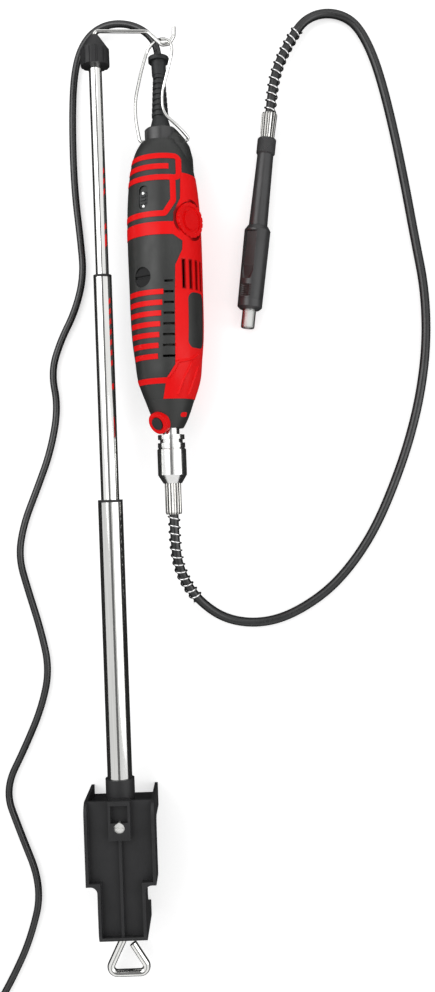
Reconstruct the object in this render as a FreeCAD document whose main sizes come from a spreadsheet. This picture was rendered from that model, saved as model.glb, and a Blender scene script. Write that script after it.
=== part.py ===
import FreeCAD, Part
import math
import operator
import os

import Sketcher
from FreeCAD import Placement, Rotation, Vector

# A rotary tool hung by its bail on the hook of a telescopic clamp stand, with its flex shaft and mains lead.
# It lies flat: X to the right, Y along the stand towards its hook, Z up from the floor, in millimetres.

DRIVING_SIZES = {
    # stand
    "stand_x": -56.0,
    "stand_z": 38.0,
    "lower_tube_radius": 9.5,
    "middle_tube_radius": 7.0,
    "upper_tube_radius": 5.0,
    "tube_wall": 1.2,
    "slide_gap": 0.15,
    "lower_tube_foot_y": -250.0,
    "lower_tube_top_y": 5.0,
    "middle_tube_foot_y": -30.0,
    "middle_tube_top_y": 177.0,
    "upper_tube_foot_y": 142.0,
    "bush_length": 20.0,
    "bush_rim": 2.0,
    "foot_length": 10.0,
    "cap_foot_y": 339.0,
    "cap_radius": 11.0,
    "cap_skirt": 13.5,
    "cap_cone": 10.5,
    "cap_tip_radius": 3.0,
    "cap_rib_depth": 0.6,
    "cap_chamber": 8.0,
    "cap_foot_seat": 10.0,
    "hook_wire_radius": 1.5,
    "hook_arm_y": 366.2,
    "hook_seat_x": -3.4,
    "hook_seat_y": 354.0,
    "hook_tip_x": 5.2,
    "hook_tip_y": 367.5,
    "hook_collar_radius": 2.6,
    "hook_collar_length": 3.0,
    # clamp
    "flange_top_y": -220.0,
    "flange_foot_y": -326.0,
    "clamp_half_width": 26.5,
    "clamp_neck_half_width": 18.0,
    "clamp_step_y": -282.4,
    "clamp_depth": 59.0,
    "clamp_wall": 2.4,
    "clamp_panel_z": 52.0,
    "throat_depth": 33.0,
    "fixed_jaw_y": -238.0,
    "fixed_jaw_top_y": -227.6,
    "jaw_plate": 2.8,
    "moving_jaw_root_y": -302.0,
    "moving_jaw_tip_y": -313.6,
    "jaw_foot_plate": 3.0,
    "throat_round": 6.0,
    "spine_round": 9.0,
    "step_round": 5.0,
    "socket_wall": 2.5,
    "sleeve_wall": 1.6,
    "sleeve_top_y": -206.0,
    "boss_half_width": 8.3,
    "boss_height": 6.0,
    "boss_foot_y": -248.5,
    "boss_pocket": 13.0,
    "socket_screw_y": -239.3,
    "socket_screw_radius": 4.0,
    "front_rib": 2.2,
    "clamp_screw_z": 13.0,
    "clamp_screw_radius": 3.0,
    "screw_gap": 0.15,
    "nut_across": 10.0,
    "nut_length": 5.0,
    "nut_boss_radius": 7.0,
    "nut_boss_top_y": -312.0,
    "pad_top_y": -241.0,
    "pad_radius": 9.0,
    "pad_length": 8.0,
    "pad_face": 4.0,
    "handle_bend_y": -331.0,
    "handle_bar_y": -366.0,
    "handle_half_width": 17.5,
    "handle_end_y": -343.0,
    # rotary tool
    "tool_x": -8.0,
    "tool_z": 28.6,
    "shell_wall": 2.5,
    "shell_front_y": 82.0,
    "shell_rear_y": 281.0,
    "skin_depth": 1.5,
    "skin_relief": 0.3,
    "shoulder_offset": 8.0,
    "shoulder_gap": 0.1,
    "collar_radius": 12.4,
    "collar_top_y": 292.0,
    "boot_foot_radius": 9.0,
    "boot_droop": 6.0,
    "boot_length": 58.0,
    "boot_bore_depth": 6.0,
    "boot_bore_radius": 3.0,
    "bail_wire_radius": 1.15,
    "bail_pivot_y": 283.0,
    "bail_gap": 0.15,
    "nose_front_y": 60.5,
    "nose_bore_radius": 7.0,
    "dial_angle": 40.0,
    "dial_y": 216.8,
    "dial_radius": 13.5,
    "dial_reach": 28.2,
    "dial_depth": 4.5,
    "dial_gap": 0.5,
    "switch_angle": 121.0,
    "switch_y": 234.0,
    "switch_length": 17.8,
    "switch_width": 7.8,
    "switch_travel": 4.0,
    "brush_angle": 127.0,
    "brush_y": 174.0,
    "brush_cap_radius": 7.6,
    "lock_angle": 130.0,
    "lock_y": 70.5,
    "lock_tilt": 24.0,
    "lock_button_radius": 4.8,
    "lock_ring_radius": 8.6,
    "lock_travel": 1.5,
    "lock_reach": 16.4,
    "spindle_radius": 2.5,
    "rotor_radius": 15.0,
    "rotor_gap": 0.5,
    "spindle_gap": 0.05,
    "commutator_radius": 11.0,
    "stator_radius": 23.0,
    "bearing_radius": 8.0,
    "bearing_length": 6.0,
    "rear_bearing_y": 262.0,
    "front_bearing_y": 76.0,
    "stripe_width": 4.3,
    "bar_width": 4.0,
    "bar_pitch": 8.0,
    "first_bar_y": 161.7,
    "vent_width": 1.8,
    "slot_width": 2.4,
    "slot_length": 21.5,
    "slot_y": 175.3,
    "plate_y": 141.0,
    "plate_angle": 32.5,
    "plate_width": 19.6,
    "plate_length": 42.0,
    "plate_round": 6.0,
    "dial_rim": 3.0,
    "dial_notch_radius": 0.8,
    "mark_angle": 43.0,
    "mark_y": 70.2,
    "mark_width": 6.4,
    "mark_length": 3.6,
    # flex shaft
    "nut_neck_radius": 6.5,
    "coupling_radius": 11.2,
    "coupling_bore": 4.0,
    "coupling_front_y": 18.0,
    "ferrule_radius": 6.4,
    "ferrule_end_y": -6.0,
    "sheath_radius": 3.6,
    "spring_wire_radius": 0.65,
    "spring_pitch": 6.0,
    "sheath_lead": 20.0,
    "spring_turns": 12.0,
    # handpiece
    "hand_x": 54.5,
    "hand_y": 138.6,
    "hand_z": 10.6,
    "hand_angle": -7.9,
    "collet_nut_radius": 5.4,
    "collet_nut_length": 14.5,
    "collet_bore_radius": 1.6,
    "collet_bore_length": 16.0,
    "collet_radius": 4.0,
    "hand_spindle_radius": 4.5,
    "hand_bearing_radius": 7.5,
    "hand_rear_bearing_radius": 5.0,
    "grip_radius": 10.3,
    "grip_front_radius": 9.8,
    "grip_length": 66.5,
    "grip_rest_angle": 121.0,
    "grip_rest_floor": 8.2,
    "grip_rest_width": 9.5,
    "grip_groove_depth": 0.6,
    "neck_front_radius": 7.4,
    "neck_rear_radius": 6.4,
    "neck_length": 57.0,
    "hand_nut_radius": 7.4,
    "hand_nut_length": 12.5,
    "hand_ferrule_length": 20.0,
    # mains lead
    "cord_radius": 2.8,
    "coil_x": -133.0,
    "coil_y": -438.0,
    "coil_inner_radius": 25.0,
    "coil_step": 7.2,
    "coil_layer_turns": 2.0,
    "coil_lift": 1.6,
    "coil_gap": 0.9,
    "coil_lead": 24.0,
    "coil_tail": 52.0,
    "coil_drop": 3.0,
    "tie_angle": 60.0,
    "tie_wall": 1.2,
    "tie_width": 8.0,
}

# Barrel of the tool: how far along and how wide, from the nose end to the cord end.
BARREL = [
    (60.5, 9.8),
    (71.3, 15.2),
    (79.1, 18.0),
    (86.8, 20.8),
    (98.4, 24.3),
    (110.1, 25.6),
    (121.7, 26.9),
    (137.1, 27.9),
    (168.0, 28.3),
    (199.0, 28.5),
    (237.7, 27.2),
    (257.1, 24.8),
    (272.5, 20.6),
    (281.0, 15.6),
]

doc = FreeCAD.newDocument("RotaryToolSet")
sheet = doc.addObject("Spreadsheet::Sheet", "Sizes")
nodes = []


# Sizes that carry their own formula

class Size:
    """A number together with the sheet formula that gives it."""

    def __init__(self, value, formula):
        self.value = float(value)
        self.formula = formula

    def __add__(self, other):
        return worked_out(self, other, "+")

    def __radd__(self, other):
        return worked_out(other, self, "+")

    def __sub__(self, other):
        return worked_out(self, other, "-")

    def __rsub__(self, other):
        return worked_out(other, self, "-")

    def __mul__(self, other):
        return worked_out(self, other, "*")

    def __rmul__(self, other):
        return worked_out(other, self, "*")

    def __truediv__(self, other):
        return worked_out(self, other, "/")

    def __neg__(self):
        return worked_out(0, self, "-")

    def __float__(self):
        return self.value


SUMS = {"+": operator.add, "-": operator.sub, "*": operator.mul, "/": operator.truediv}


def as_size(amount):
    return amount if isinstance(amount, Size) else Size(amount, f"{float(amount):g}")


def worked_out(first, second, sign):
    first = as_size(first)
    second = as_size(second)
    value = SUMS[sign](first.value, second.value)
    return Size(value, f"({first.formula} {sign} {second.formula})")


class Sizes:
    """The sheet's cells by name."""

    def __init__(self, table):
        for row, (name, value) in enumerate(table.items(), start=1):
            sheet.set(f"A{row}", name)
            sheet.set(f"B{row}", f"{value:g}")
            sheet.setAlias(f"B{row}", name)
            setattr(self, name, Size(value, f"Sizes.{name}"))


d = Sizes(DRIVING_SIZES)
doc.recompute()


# Helpers for bodies, sketches and booleans

def bind(item, path, amount):
    item.setExpression(path, as_size(amount).formula)


def put(item, x=0, y=0, z=0, turn=None):
    """Place an object, with each coordinate tied to the sheet."""
    base = Vector(float(x), float(y), float(z))
    item.Placement = Placement(base, turn or Rotation())
    for letter, amount in zip("xyz", (x, y, z)):
        if isinstance(amount, Size):
            bind(item, f"Placement.Base.{letter}", amount)
    return item


def keep(item, label=None):
    """Hand an object in as a node of its own."""
    item.Label = label or item.Label
    nodes.append(item)
    return item


def sketch_on(body, plane):
    sketch = body.newObject("Sketcher::SketchObject", f"{body.Name}_sketch")
    role = f"{plane}_Plane"
    origin = next(part for part in body.Origin.OriginFeatures if part.Role == role)
    sketch.AttachmentSupport = [(origin, "")]
    sketch.MapMode = "FlatFace"
    return sketch


def pin_point(sketch, shape, end, x, y):
    """Hold one point of a sketch at sheet distances from its origin."""
    for kind, amount in (("DistanceX", as_size(x)), ("DistanceY", as_size(y))):
        index = sketch.addConstraint(Sketcher.Constraint(kind, -1, 1, shape, end, amount.value))
        sketch.setExpression(f"Constraints[{index}]", amount.formula)


def draw_outline(sketch, corners):
    points = [Vector(float(x), float(y), 0) for x, y in corners]
    first = sketch.GeometryCount
    count = len(points)
    for index, point in enumerate(points):
        sketch.addGeometry(Part.LineSegment(point, points[(index + 1) % count]), False)
    for index, (x, y) in enumerate(corners):
        previous = first + (index - 1) % count
        sketch.addConstraint(Sketcher.Constraint("Coincident", previous, 2, first + index, 1))
        pin_point(sketch, first + index, 1, x, y)


def draw_circle(sketch, x, y, radius):
    radius = as_size(radius)
    circle = Part.Circle(Vector(float(x), float(y), 0), Vector(0, 0, 1), radius.value)
    index = sketch.addGeometry(circle, False)
    pin_point(sketch, index, 3, x, y)
    held = sketch.addConstraint(Sketcher.Constraint("Radius", index, radius.value))
    sketch.setExpression(f"Constraints[{held}]", radius.formula)


def turned(label, outline, x=0, y=0, z=0, turn=None):
    """A body turned about its own Y axis from corners of radius and station."""
    body = doc.addObject("PartDesign::Body", label)
    sketch = sketch_on(body, "XY")
    draw_outline(sketch, outline)
    revolution = body.newObject("PartDesign::Revolution", f"{label}_turn")
    revolution.Profile = sketch
    revolution.ReferenceAxis = (sketch, ["V_Axis"])
    revolution.Angle = 360
    return put(body, x, y, z, turn)


def padded(label, outline, depth, plane="XY", x=0, y=0, z=0, turn=None, circles=()):
    """A body raised from an outline, with round holes where circles are given."""
    body = doc.addObject("PartDesign::Body", label)
    sketch = sketch_on(body, plane)
    if outline:
        draw_outline(sketch, outline)
    for across, along, radius in circles:
        draw_circle(sketch, across, along, radius)
    pad = body.newObject("PartDesign::Pad", f"{label}_pad")
    pad.Profile = sketch
    bind(pad, "Length", depth)
    return put(body, x, y, z, turn)


def box(label, low, high):
    """A box between two corners."""
    item = doc.addObject("Part::Box", label)
    for side, start, end in zip(("Length", "Width", "Height"), low, high):
        bind(item, side, as_size(end) - start)
    return put(item, *(as_size(amount) for amount in low))


def rod(label, radius, length, x=0, y=0, z=0, turn=None):
    """A cylinder along its own Z axis, or along the way that turn points it."""
    item = doc.addObject("Part::Cylinder", label)
    bind(item, "Radius", radius)
    bind(item, "Height", length)
    return put(item, x, y, z, turn)


ALONG_Y = Rotation(Vector(1, 0, 0), -90)


def joined(label, *pieces):
    item = doc.addObject("Part::MultiFuse", label)
    item.Shapes = list(pieces)
    return item


def trimmed(label, base, *tools):
    """A piece with others taken out of it."""
    item = doc.addObject("Part::Cut", label)
    item.Base = base
    item.Tool = tools[0] if len(tools) == 1 else joined(f"{label}_tools", *tools)
    return item


def shaped(label, shape, place=None):
    """A feature whose shape is worked out here."""
    item = doc.addObject("Part::Feature", label)
    item.Shape = shape
    if place:
        item.Placement = place
    return item


def round_edges(body, radius, test):
    """Round the edges of a body's tip that pass a test."""
    doc.recompute()
    base = body.Tip
    names = [f"Edge{index}" for index, edge in enumerate(base.Shape.Edges, start=1) if test(edge)]
    fillet = body.newObject("PartDesign::Fillet", f"{body.Name}_round")
    fillet.Base = (base, names)
    bind(fillet, "Radius", radius)
    return body


def at_corner(across, along, axes):
    """A test for straight edges that stand on one corner of an outline."""
    first, second = axes

    def test(edge):
        ends = [vertex.Point for vertex in edge.Vertexes]
        near = [abs(getattr(end, first) - float(across)) + abs(getattr(end, second) - float(along))
                for end in ends]
        return len(ends) == 2 and max(near) < 0.01

    return test


def any_of(*tests):
    return lambda edge: any(test(edge) for test in tests)


# Paths of straight runs and tangent arcs

# Cords and spring wires have faceted sections, to keep their long solids light.
CORD_SIDES = 8
WIRE_SIDES = 5


def bent_path(corners, radii):
    """A wire through corners, each inner one rounded by its own radius."""
    edges = []
    start = corners[0]
    for before, corner, after, radius in zip(corners, corners[1:], corners[2:], radii):
        back = (before - corner).normalize()
        ahead = (after - corner).normalize()
        half = back.getAngle(ahead) / 2
        reach = radius / math.tan(half)
        middle = corner + (back + ahead).normalize() * (radius / math.sin(half) - radius)
        first = corner + back * reach
        last = corner + ahead * reach
        edges.append(Part.LineSegment(start, first).toShape())
        edges.append(Part.Arc(first, middle, last).toShape())
        start = last
    edges.append(Part.LineSegment(start, corners[-1]).toShape())
    return Part.Wire(edges)


def cord_radii(corners):
    """The largest radius at each inner corner that its two runs allow."""
    radii = []
    for before, corner, after in zip(corners, corners[1:], corners[2:]):
        run = min((corner - before).Length, (after - corner).Length)
        turn = (corner - before).getAngle(after - corner)
        radii.append(0.45 * run / math.tan(turn / 2))
    return radii


def tube_along(path, radius, sides=0):
    """A solid of one section along a path: round, or faceted where a number of sides is given."""
    edge = path.Edges[0]
    start = edge.valueAt(edge.FirstParameter)
    along = edge.tangentAt(edge.FirstParameter)
    circle = Part.makeCircle(radius, start, along)
    if sides:
        corners = circle.discretize(sides + 1)[:-1]
        return path.makePipeShell([Part.makePolygon(corners + corners[:1])], True, False)
    return path.makePipeShell([Part.Wire(circle)], True, False)


def section_area(radius, sides):
    return sides * radius * radius * math.sin(2 * math.pi / sides) / 2


def vectors(points):
    return [Vector(*(float(number) for number in point)) for point in points]


def biarc(start, start_way, end, end_way):
    """Two arcs that join two points and keep to the way at each."""
    gap = end - start
    both = start_way + end_way
    square = 2 * (1 - start_way.dot(end_way))
    if square < 1e-9:
        reach = gap.dot(gap) / (2 * gap.dot(both))
    else:
        slope = 2 * gap.dot(both)
        reach = (math.sqrt(slope * slope + 4 * square * gap.dot(gap)) - slope) / (2 * square)
    first_knee = start + start_way * reach
    second_knee = end - end_way * reach
    meeting = (first_knee + second_knee) / 2
    return [arc_by_knee(start, first_knee, meeting), arc_by_knee(meeting, second_knee, end)]


def arc_by_knee(start, knee, end):
    middle = (start + end) / 2
    half = (end - start).Length / 2
    lean = math.acos(min(1.0, half / (knee - start).Length))
    if lean < 1e-6:
        return Part.LineSegment(start, end).toShape()
    rise = (knee - middle).normalize() * half * math.tan(lean / 2)
    return Part.Arc(start, middle + rise, end).toShape()


def wound_path(point_at, stations):
    """A smooth wire of biarcs through the points of a curve at its stations."""
    edges = []
    step = (stations[-1] - stations[0]) * 1e-6
    spots = [point_at(station) for station in stations]
    ways = [(point_at(station + step) - point_at(station - step)).normalize() for station in stations]
    for index in range(len(spots) - 1):
        edges += biarc(spots[index], ways[index], spots[index + 1], ways[index + 1])
    return edges


def straight_ends(edges, length):
    """The same edges with a short straight run before the first and after the last."""
    first, last = edges[0], edges[-1]
    start = first.valueAt(first.FirstParameter)
    end = last.valueAt(last.LastParameter)
    lead = start - first.tangentAt(first.FirstParameter) * length
    tail = end + last.tangentAt(last.LastParameter) * length
    return [Part.LineSegment(lead, start).toShape()] + edges + [Part.LineSegment(end, tail).toShape()]


def least_self_gap(edges, radius, turn_length):
    """The least clear gap between stretches of a tube that lie most of a turn apart."""
    spots = []
    along = 0.0
    for edge in edges:
        count = max(2, int(edge.Length / 1.5))
        for spot in edge.discretize(count)[:-1]:
            spots.append((along, spot))
            along += edge.Length / (count - 1)
    least = 1e9
    for index, (first_along, first) in enumerate(spots):
        for second_along, second in spots[index + 1:]:
            if second_along - first_along > turn_length:
                least = min(least, (second - first).Length)
    return least - 2 * radius


def place_on(wire, distance):
    """The point and the way of a wire at a distance along it."""
    left = distance
    for edge in wire.Edges:
        if left <= edge.Length or edge is wire.Edges[-1]:
            at = edge.getParameterByLength(max(0.0, min(left, edge.Length)))
            return edge.valueAt(at), edge.tangentAt(at)
        left -= edge.Length


# Stand

def stand_tube(label, radius, foot, top):
    inner = radius - d.tube_wall
    length = top - foot
    outline = [(inner, 0), (radius, 0), (radius, length), (inner, length)]
    return keep(turned(label, outline, d.stand_x, foot, d.stand_z))


def guide_bush(label, outer_tube, inner_tube, top):
    """A collar in the mouth of one tube that guides the next."""
    bore = inner_tube + d.slide_gap
    seat = outer_tube - d.tube_wall
    outline = [
        (bore, -d.bush_length),
        (seat, -d.bush_length),
        (seat, 0),
        (outer_tube, 0),
        (outer_tube, d.bush_rim),
        (bore, d.bush_rim),
    ]
    return keep(turned(label, outline, d.stand_x, top, d.stand_z))


def tube_foot(label, inner_tube, outer_tube, foot):
    """A slider on the foot of one tube that runs inside the next."""
    outer = outer_tube - d.tube_wall - d.slide_gap
    outline = [(inner_tube, 0), (outer, 0), (outer, d.foot_length), (inner_tube, d.foot_length)]
    return keep(turned(label, outline, d.stand_x, foot, d.stand_z))


def make_cap():
    seat = d.cap_foot_seat
    chamber_top = seat + d.cap_chamber
    crown = d.cap_skirt + d.cap_cone
    bore = d.hook_wire_radius + d.slide_gap
    chamber = d.hook_collar_radius + 2 * d.slide_gap
    groove = d.cap_radius - d.cap_rib_depth
    outline = [
        (d.upper_tube_radius, 0),
        (groove, 0),
        (groove, d.cap_skirt),
        (d.cap_tip_radius, crown),
        (bore, crown),
        (bore, chamber_top),
        (chamber, chamber_top),
        (chamber, seat),
        (d.upper_tube_radius, seat),
    ]
    core = turned("cap_core", outline, d.stand_x, d.cap_foot_y, d.stand_z)
    ribs = 14
    rib_width = 3.0
    grip = []
    for index in range(ribs):
        turn = Rotation(Vector(0, 1, 0), 360 * index / ribs)
        rib = Part.makeBox(rib_width, float(d.cap_skirt) - 0.8, 1.6,
                           Vector(-rib_width / 2, 0, float(d.cap_radius) - 1.6))
        rib.Placement = Placement(Vector(float(d.stand_x), float(d.cap_foot_y), float(d.stand_z)), turn)
        grip.append(rib)
    return keep(joined("top_cap", core, shaped("cap_ribs", Part.makeCompound(grip))))


def make_hook():
    """The bent wire of the hook with the collar that holds it in the cap."""
    x = float(d.stand_x)
    z = float(d.stand_z)
    start = float(d.cap_foot_y + d.cap_foot_seat) + 1.5
    arm = float(d.hook_arm_y)
    seat_x = float(d.hook_seat_x)
    seat_y = float(d.hook_seat_y)
    tip_x = float(d.hook_tip_x)
    corners = vectors([
        (x, start, z),
        (x, arm, z),
        (seat_x - 12.0, arm - 1.6, z),
        (seat_x - 1.2, seat_y, z),
        (seat_x + 4.6, seat_y + 0.6, z),
        (tip_x - 0.3, seat_y + 6.5, z),
        (tip_x, float(d.hook_tip_y), z),
    ])
    radius = float(d.hook_wire_radius)
    wire = tube_along(bent_path(corners, [3.0, 5.0, 4.0, 3.5, 3.0]), radius)
    collar = Part.makeCylinder(
        float(d.hook_collar_radius), float(d.hook_collar_length), Vector(x, start, z), Vector(0, 1, 0))
    return keep(shaped("hook_wire", wire.fuse(collar).removeSplitter()))


def make_clamp_frame():
    """The cast C clamp: a channel with two jaws, a neck, a tube socket and a nut boss."""
    x = d.stand_x
    wide = d.clamp_half_width
    neck = d.clamp_neck_half_width
    wall = d.clamp_wall
    side = [
        (d.flange_top_y, 0),
        (d.flange_top_y, d.clamp_depth),
        (d.flange_foot_y, d.clamp_depth),
        (d.flange_foot_y, 0),
        (d.moving_jaw_tip_y, 0),
        (d.moving_jaw_root_y, d.throat_depth),
        (d.fixed_jaw_y, d.throat_depth),
        (d.fixed_jaw_y, 0),
    ]
    blank = padded("clamp_blank", side, 2 * wide, "YZ", x=x - wide)
    inner = any_of(
        at_corner(d.moving_jaw_root_y, d.throat_depth, "yz"),
        at_corner(d.fixed_jaw_y, d.throat_depth, "yz"),
    )
    round_edges(blank, d.throat_round, inner)
    outer = any_of(
        at_corner(d.flange_top_y, d.clamp_depth, "yz"),
        at_corner(d.flange_foot_y, d.clamp_depth, "yz"),
    )
    round_edges(blank, d.spine_round, outer)

    over = d.clamp_depth + 1
    cuts = []
    for hand, label in ((-1, "left"), (1, "right")):
        step = [
            (hand * neck, d.clamp_step_y),
            (hand * (wide + 1), d.clamp_step_y),
            (hand * (wide + 1), d.flange_foot_y - 1),
            (hand * neck, d.flange_foot_y - 1),
        ]
        cut = padded(f"clamp_step_{label}", step, over + 1, x=x, z=-1)
        round_edges(cut, d.step_round, at_corner(hand * neck, d.clamp_step_y, "xy"))
        cuts.append(cut)

    # the shallow tray in front of the panel, wide above the step and narrow below it
    above_step = d.clamp_step_y + wall
    panel_back = d.clamp_panel_z - wall
    tray_foot = d.flange_foot_y + 2 * wall
    cuts.append(box("tray_above", (x - wide + wall, above_step, d.clamp_panel_z),
                    (x + wide - wall, d.flange_top_y + 1, over)))
    cuts.append(box("tray_below", (x - neck + wall, tray_foot, d.clamp_panel_z),
                    (x + neck - wall, above_step, over)))
    # the fixed jaw's open top and hollow, the channel behind the panel, the moving jaw's hollow
    cuts.append(box("jaw_top", (x - wide + wall, d.fixed_jaw_top_y, -1),
                    (x + wide - wall, d.flange_top_y + 1, panel_back)))
    cuts.append(box("jaw_hollow", (x - wide + wall, d.fixed_jaw_y + d.jaw_plate, -1),
                    (x + wide - wall, d.fixed_jaw_top_y - d.jaw_plate, d.throat_depth - wall)))
    cuts.append(box("channel_above", (x - wide + wall, above_step, d.throat_depth),
                    (x + wide - wall, d.fixed_jaw_y, panel_back)))
    cuts.append(box("channel_below", (x - neck + wall, d.moving_jaw_root_y, d.throat_depth),
                    (x + neck - wall, above_step, panel_back)))
    cuts.append(box("moving_jaw_hollow", (x - neck + wall, d.flange_foot_y + d.jaw_foot_plate, -1),
                    (x + neck - wall, d.moving_jaw_root_y, panel_back)))
    shell = trimmed("clamp_channel", blank, *cuts)

    socket_radius = d.lower_tube_radius + d.socket_wall
    socket_length = d.fixed_jaw_top_y - d.lower_tube_foot_y + d.socket_wall
    socket = rod("tube_socket", socket_radius, socket_length, x,
                 d.lower_tube_foot_y - d.socket_wall, d.stand_z, ALONG_Y)
    boss = box("front_boss", (x - d.boss_half_width, d.boss_foot_y, panel_back),
               (x + d.boss_half_width, d.flange_top_y + 1, d.clamp_panel_z + d.boss_height))
    rib = box("front_rib", (x - d.front_rib / 2, tray_foot - 1, panel_back),
              (x + d.front_rib / 2, d.boss_foot_y + 1, d.clamp_panel_z + d.boss_height - 2))
    nut_boss = rod("nut_boss", d.nut_boss_radius, d.nut_boss_top_y - d.flange_foot_y, x,
                   d.flange_foot_y, d.clamp_screw_z, ALONG_Y)
    body = joined("clamp_body", shell, socket, boss, rib, nut_boss)

    bore = rod("tube_bore", d.lower_tube_radius, d.flange_top_y + 20 - d.lower_tube_foot_y, x,
               d.lower_tube_foot_y, d.stand_z, ALONG_Y)
    pocket_top = d.flange_top_y - wall
    pocket = box("boss_pocket", (x - d.boss_pocket / 2, pocket_top - d.boss_pocket, d.clamp_panel_z),
                 (x + d.boss_pocket / 2, pocket_top, over))
    screw_hole = rod("socket_screw_hole", d.socket_screw_radius, over, x, d.socket_screw_y, d.stand_z
                     + d.lower_tube_radius)
    thread = rod("clamp_screw_hole", d.clamp_screw_radius + d.screw_gap, 30, x,
                 d.flange_foot_y - 1, d.clamp_screw_z, ALONG_Y)
    return keep(trimmed("clamp_frame", body, bore, pocket, screw_hole, thread))


def make_socket_screw():
    """The pan screw in the front boss that bears on the tube."""
    height = d.clamp_panel_z + d.boss_height - 1.5 - d.stand_z - d.lower_tube_radius
    shank = rod("socket_screw_shank", d.socket_screw_radius, height, d.stand_x, d.socket_screw_y,
                d.stand_z + d.lower_tube_radius)
    top = d.stand_z + d.lower_tube_radius + height
    slot = box("socket_screw_slot", (d.stand_x - 5, d.socket_screw_y - 0.6, top - 1.2),
               (d.stand_x + 5, d.socket_screw_y + 0.6, top + 1))
    return keep(trimmed("socket_screw", shank, slot))


def make_socket_sleeve():
    outer = d.lower_tube_radius + d.sleeve_wall
    length = d.sleeve_top_y - d.fixed_jaw_top_y
    outline = [(d.lower_tube_radius, 0), (outer, 0), (outer, length), (d.lower_tube_radius, length)]
    return keep(turned("socket_sleeve", outline, d.stand_x, d.fixed_jaw_top_y, d.stand_z))


def make_clamp_screw():
    """The rod, bent at its foot to an open triangle."""
    x = float(d.stand_x)
    z = float(d.clamp_screw_z)
    wide = float(d.handle_half_width)
    bar = float(d.handle_bar_y)
    start = float(d.pad_top_y - d.pad_face) - 0.2
    corners = vectors([
        (x, start, z),
        (x, float(d.handle_bend_y), z),
        (x - wide, bar, z),
        (x + wide, bar, z),
        (x + 3.5, float(d.handle_end_y), z),
    ])
    wire = tube_along(bent_path(corners, [6.0, 5.0, 5.0]), float(d.clamp_screw_radius))
    return keep(shaped("clamp_screw", wire))


def make_screw_nut():
    across = d.nut_across / 2
    corner = d.nut_across / math.sqrt(3)
    hexagon = [(corner * math.cos(math.radians(60 * step)), corner * math.sin(math.radians(60 * step)))
               for step in range(6)]
    bore = d.clamp_screw_radius + d.screw_gap
    nut = padded("screw_nut", hexagon, d.nut_length, "XZ", d.stand_x,
                 d.nut_boss_top_y + d.nut_length, d.clamp_screw_z, circles=[(0, 0, bore)])
    return keep(nut)


def make_pressure_pad():
    """The swivel pad, a cup over the rod's end."""
    bore = d.clamp_screw_radius + d.screw_gap
    outline = [
        (0, 0),
        (d.pad_radius, 0),
        (d.pad_radius, -d.pad_face),
        (bore + 2, -d.pad_length),
        (bore, -d.pad_length),
        (bore, -d.pad_face),
        (0, -d.pad_face),
    ]
    return keep(turned("pressure_pad", outline, d.stand_x, d.pad_top_y, d.clamp_screw_z))


def make_stand():
    make_clamp_frame()
    make_socket_screw()
    make_socket_sleeve()
    stand_tube("lower_tube", d.lower_tube_radius, d.lower_tube_foot_y, d.lower_tube_top_y)
    guide_bush("lower_bush", d.lower_tube_radius, d.middle_tube_radius, d.lower_tube_top_y)
    stand_tube("middle_tube", d.middle_tube_radius, d.middle_tube_foot_y, d.middle_tube_top_y)
    tube_foot("middle_foot", d.middle_tube_radius, d.lower_tube_radius, d.middle_tube_foot_y)
    guide_bush("middle_bush", d.middle_tube_radius, d.upper_tube_radius, d.middle_tube_top_y)
    stand_tube("upper_tube", d.upper_tube_radius, d.upper_tube_foot_y, d.cap_foot_y + d.cap_foot_seat)
    tube_foot("upper_foot", d.upper_tube_radius, d.middle_tube_radius, d.upper_tube_foot_y)
    make_cap()
    make_hook()
    make_clamp_screw()
    make_screw_nut()
    make_pressure_pad()


# Rotary tool: its barrel and what is cut from it

TOOL_AT = Vector(float(d.tool_x), 0, float(d.tool_z))


def barrel(inset, low, high):
    """The barrel between two stations, with its surface drawn in by an inset."""
    spots = [Vector(radius - inset, station, 0) for station, radius in BARREL]
    curve = Part.BSplineCurve()
    curve.interpolate(spots)
    first, last = spots[0], spots[-1]
    edges = [
        curve.toShape(),
        Part.LineSegment(last, Vector(0, last.y, 0)).toShape(),
        Part.LineSegment(Vector(0, last.y, 0), Vector(0, first.y, 0)).toShape(),
        Part.LineSegment(Vector(0, first.y, 0), first).toShape(),
    ]
    solid = Part.Face(Part.Wire(edges)).revolve(Vector(), Vector(0, 1, 0), 360)
    solid.translate(TOOL_AT)
    return solid.common(disc(60, low, high))


def disc(radius, low, high):
    """A round slab about the tool's axis."""
    start = TOOL_AT + Vector(0, float(low), 0)
    return Part.makeCylinder(float(radius), float(high) - float(low), start, Vector(0, 1, 0))


def sector(low, high, start, end, radius=60.0):
    """A wedge about the tool's axis; angles go from +X towards +Z."""
    wedge = Part.makeCylinder(radius, high - low, Vector(), Vector(0, 0, 1), end - start)
    turn = Rotation(Vector(1, 0, 0), 90) * Rotation(Vector(0, 0, 1), start)
    wedge.Placement = Placement(TOOL_AT + Vector(0, high, 0), turn)
    return wedge


def outward(angle, station, reach=0.0, tilt=0.0):
    """A placement whose Z points away from the tool's axis."""
    turn = Rotation(Vector(0, 1, 0), 90 - float(angle)) * Rotation(Vector(1, 0, 0), float(tilt))
    start = TOOL_AT + Vector(0, float(station), 0) + turn.multVec(Vector(0, 0, float(reach)))
    return Placement(start, turn)


def plug_at(place, radius, low, high):
    """A cylinder along the Z of a placement."""
    solid = Part.makeCylinder(float(radius), float(high) - float(low), Vector(0, 0, float(low)))
    solid.Placement = place
    return solid


def block_at(place, across, along, low, high):
    """A block about the Z of a placement."""
    across, along, low, high = (float(size) for size in (across, along, low, high))
    solid = Part.makeBox(across, along, high - low, Vector(-across / 2, -along / 2, low))
    solid.Placement = place
    return solid


def all_of(shapes):
    first, rest = shapes[0], shapes[1:]
    return first.multiFuse(rest).removeSplitter() if rest else first


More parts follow.
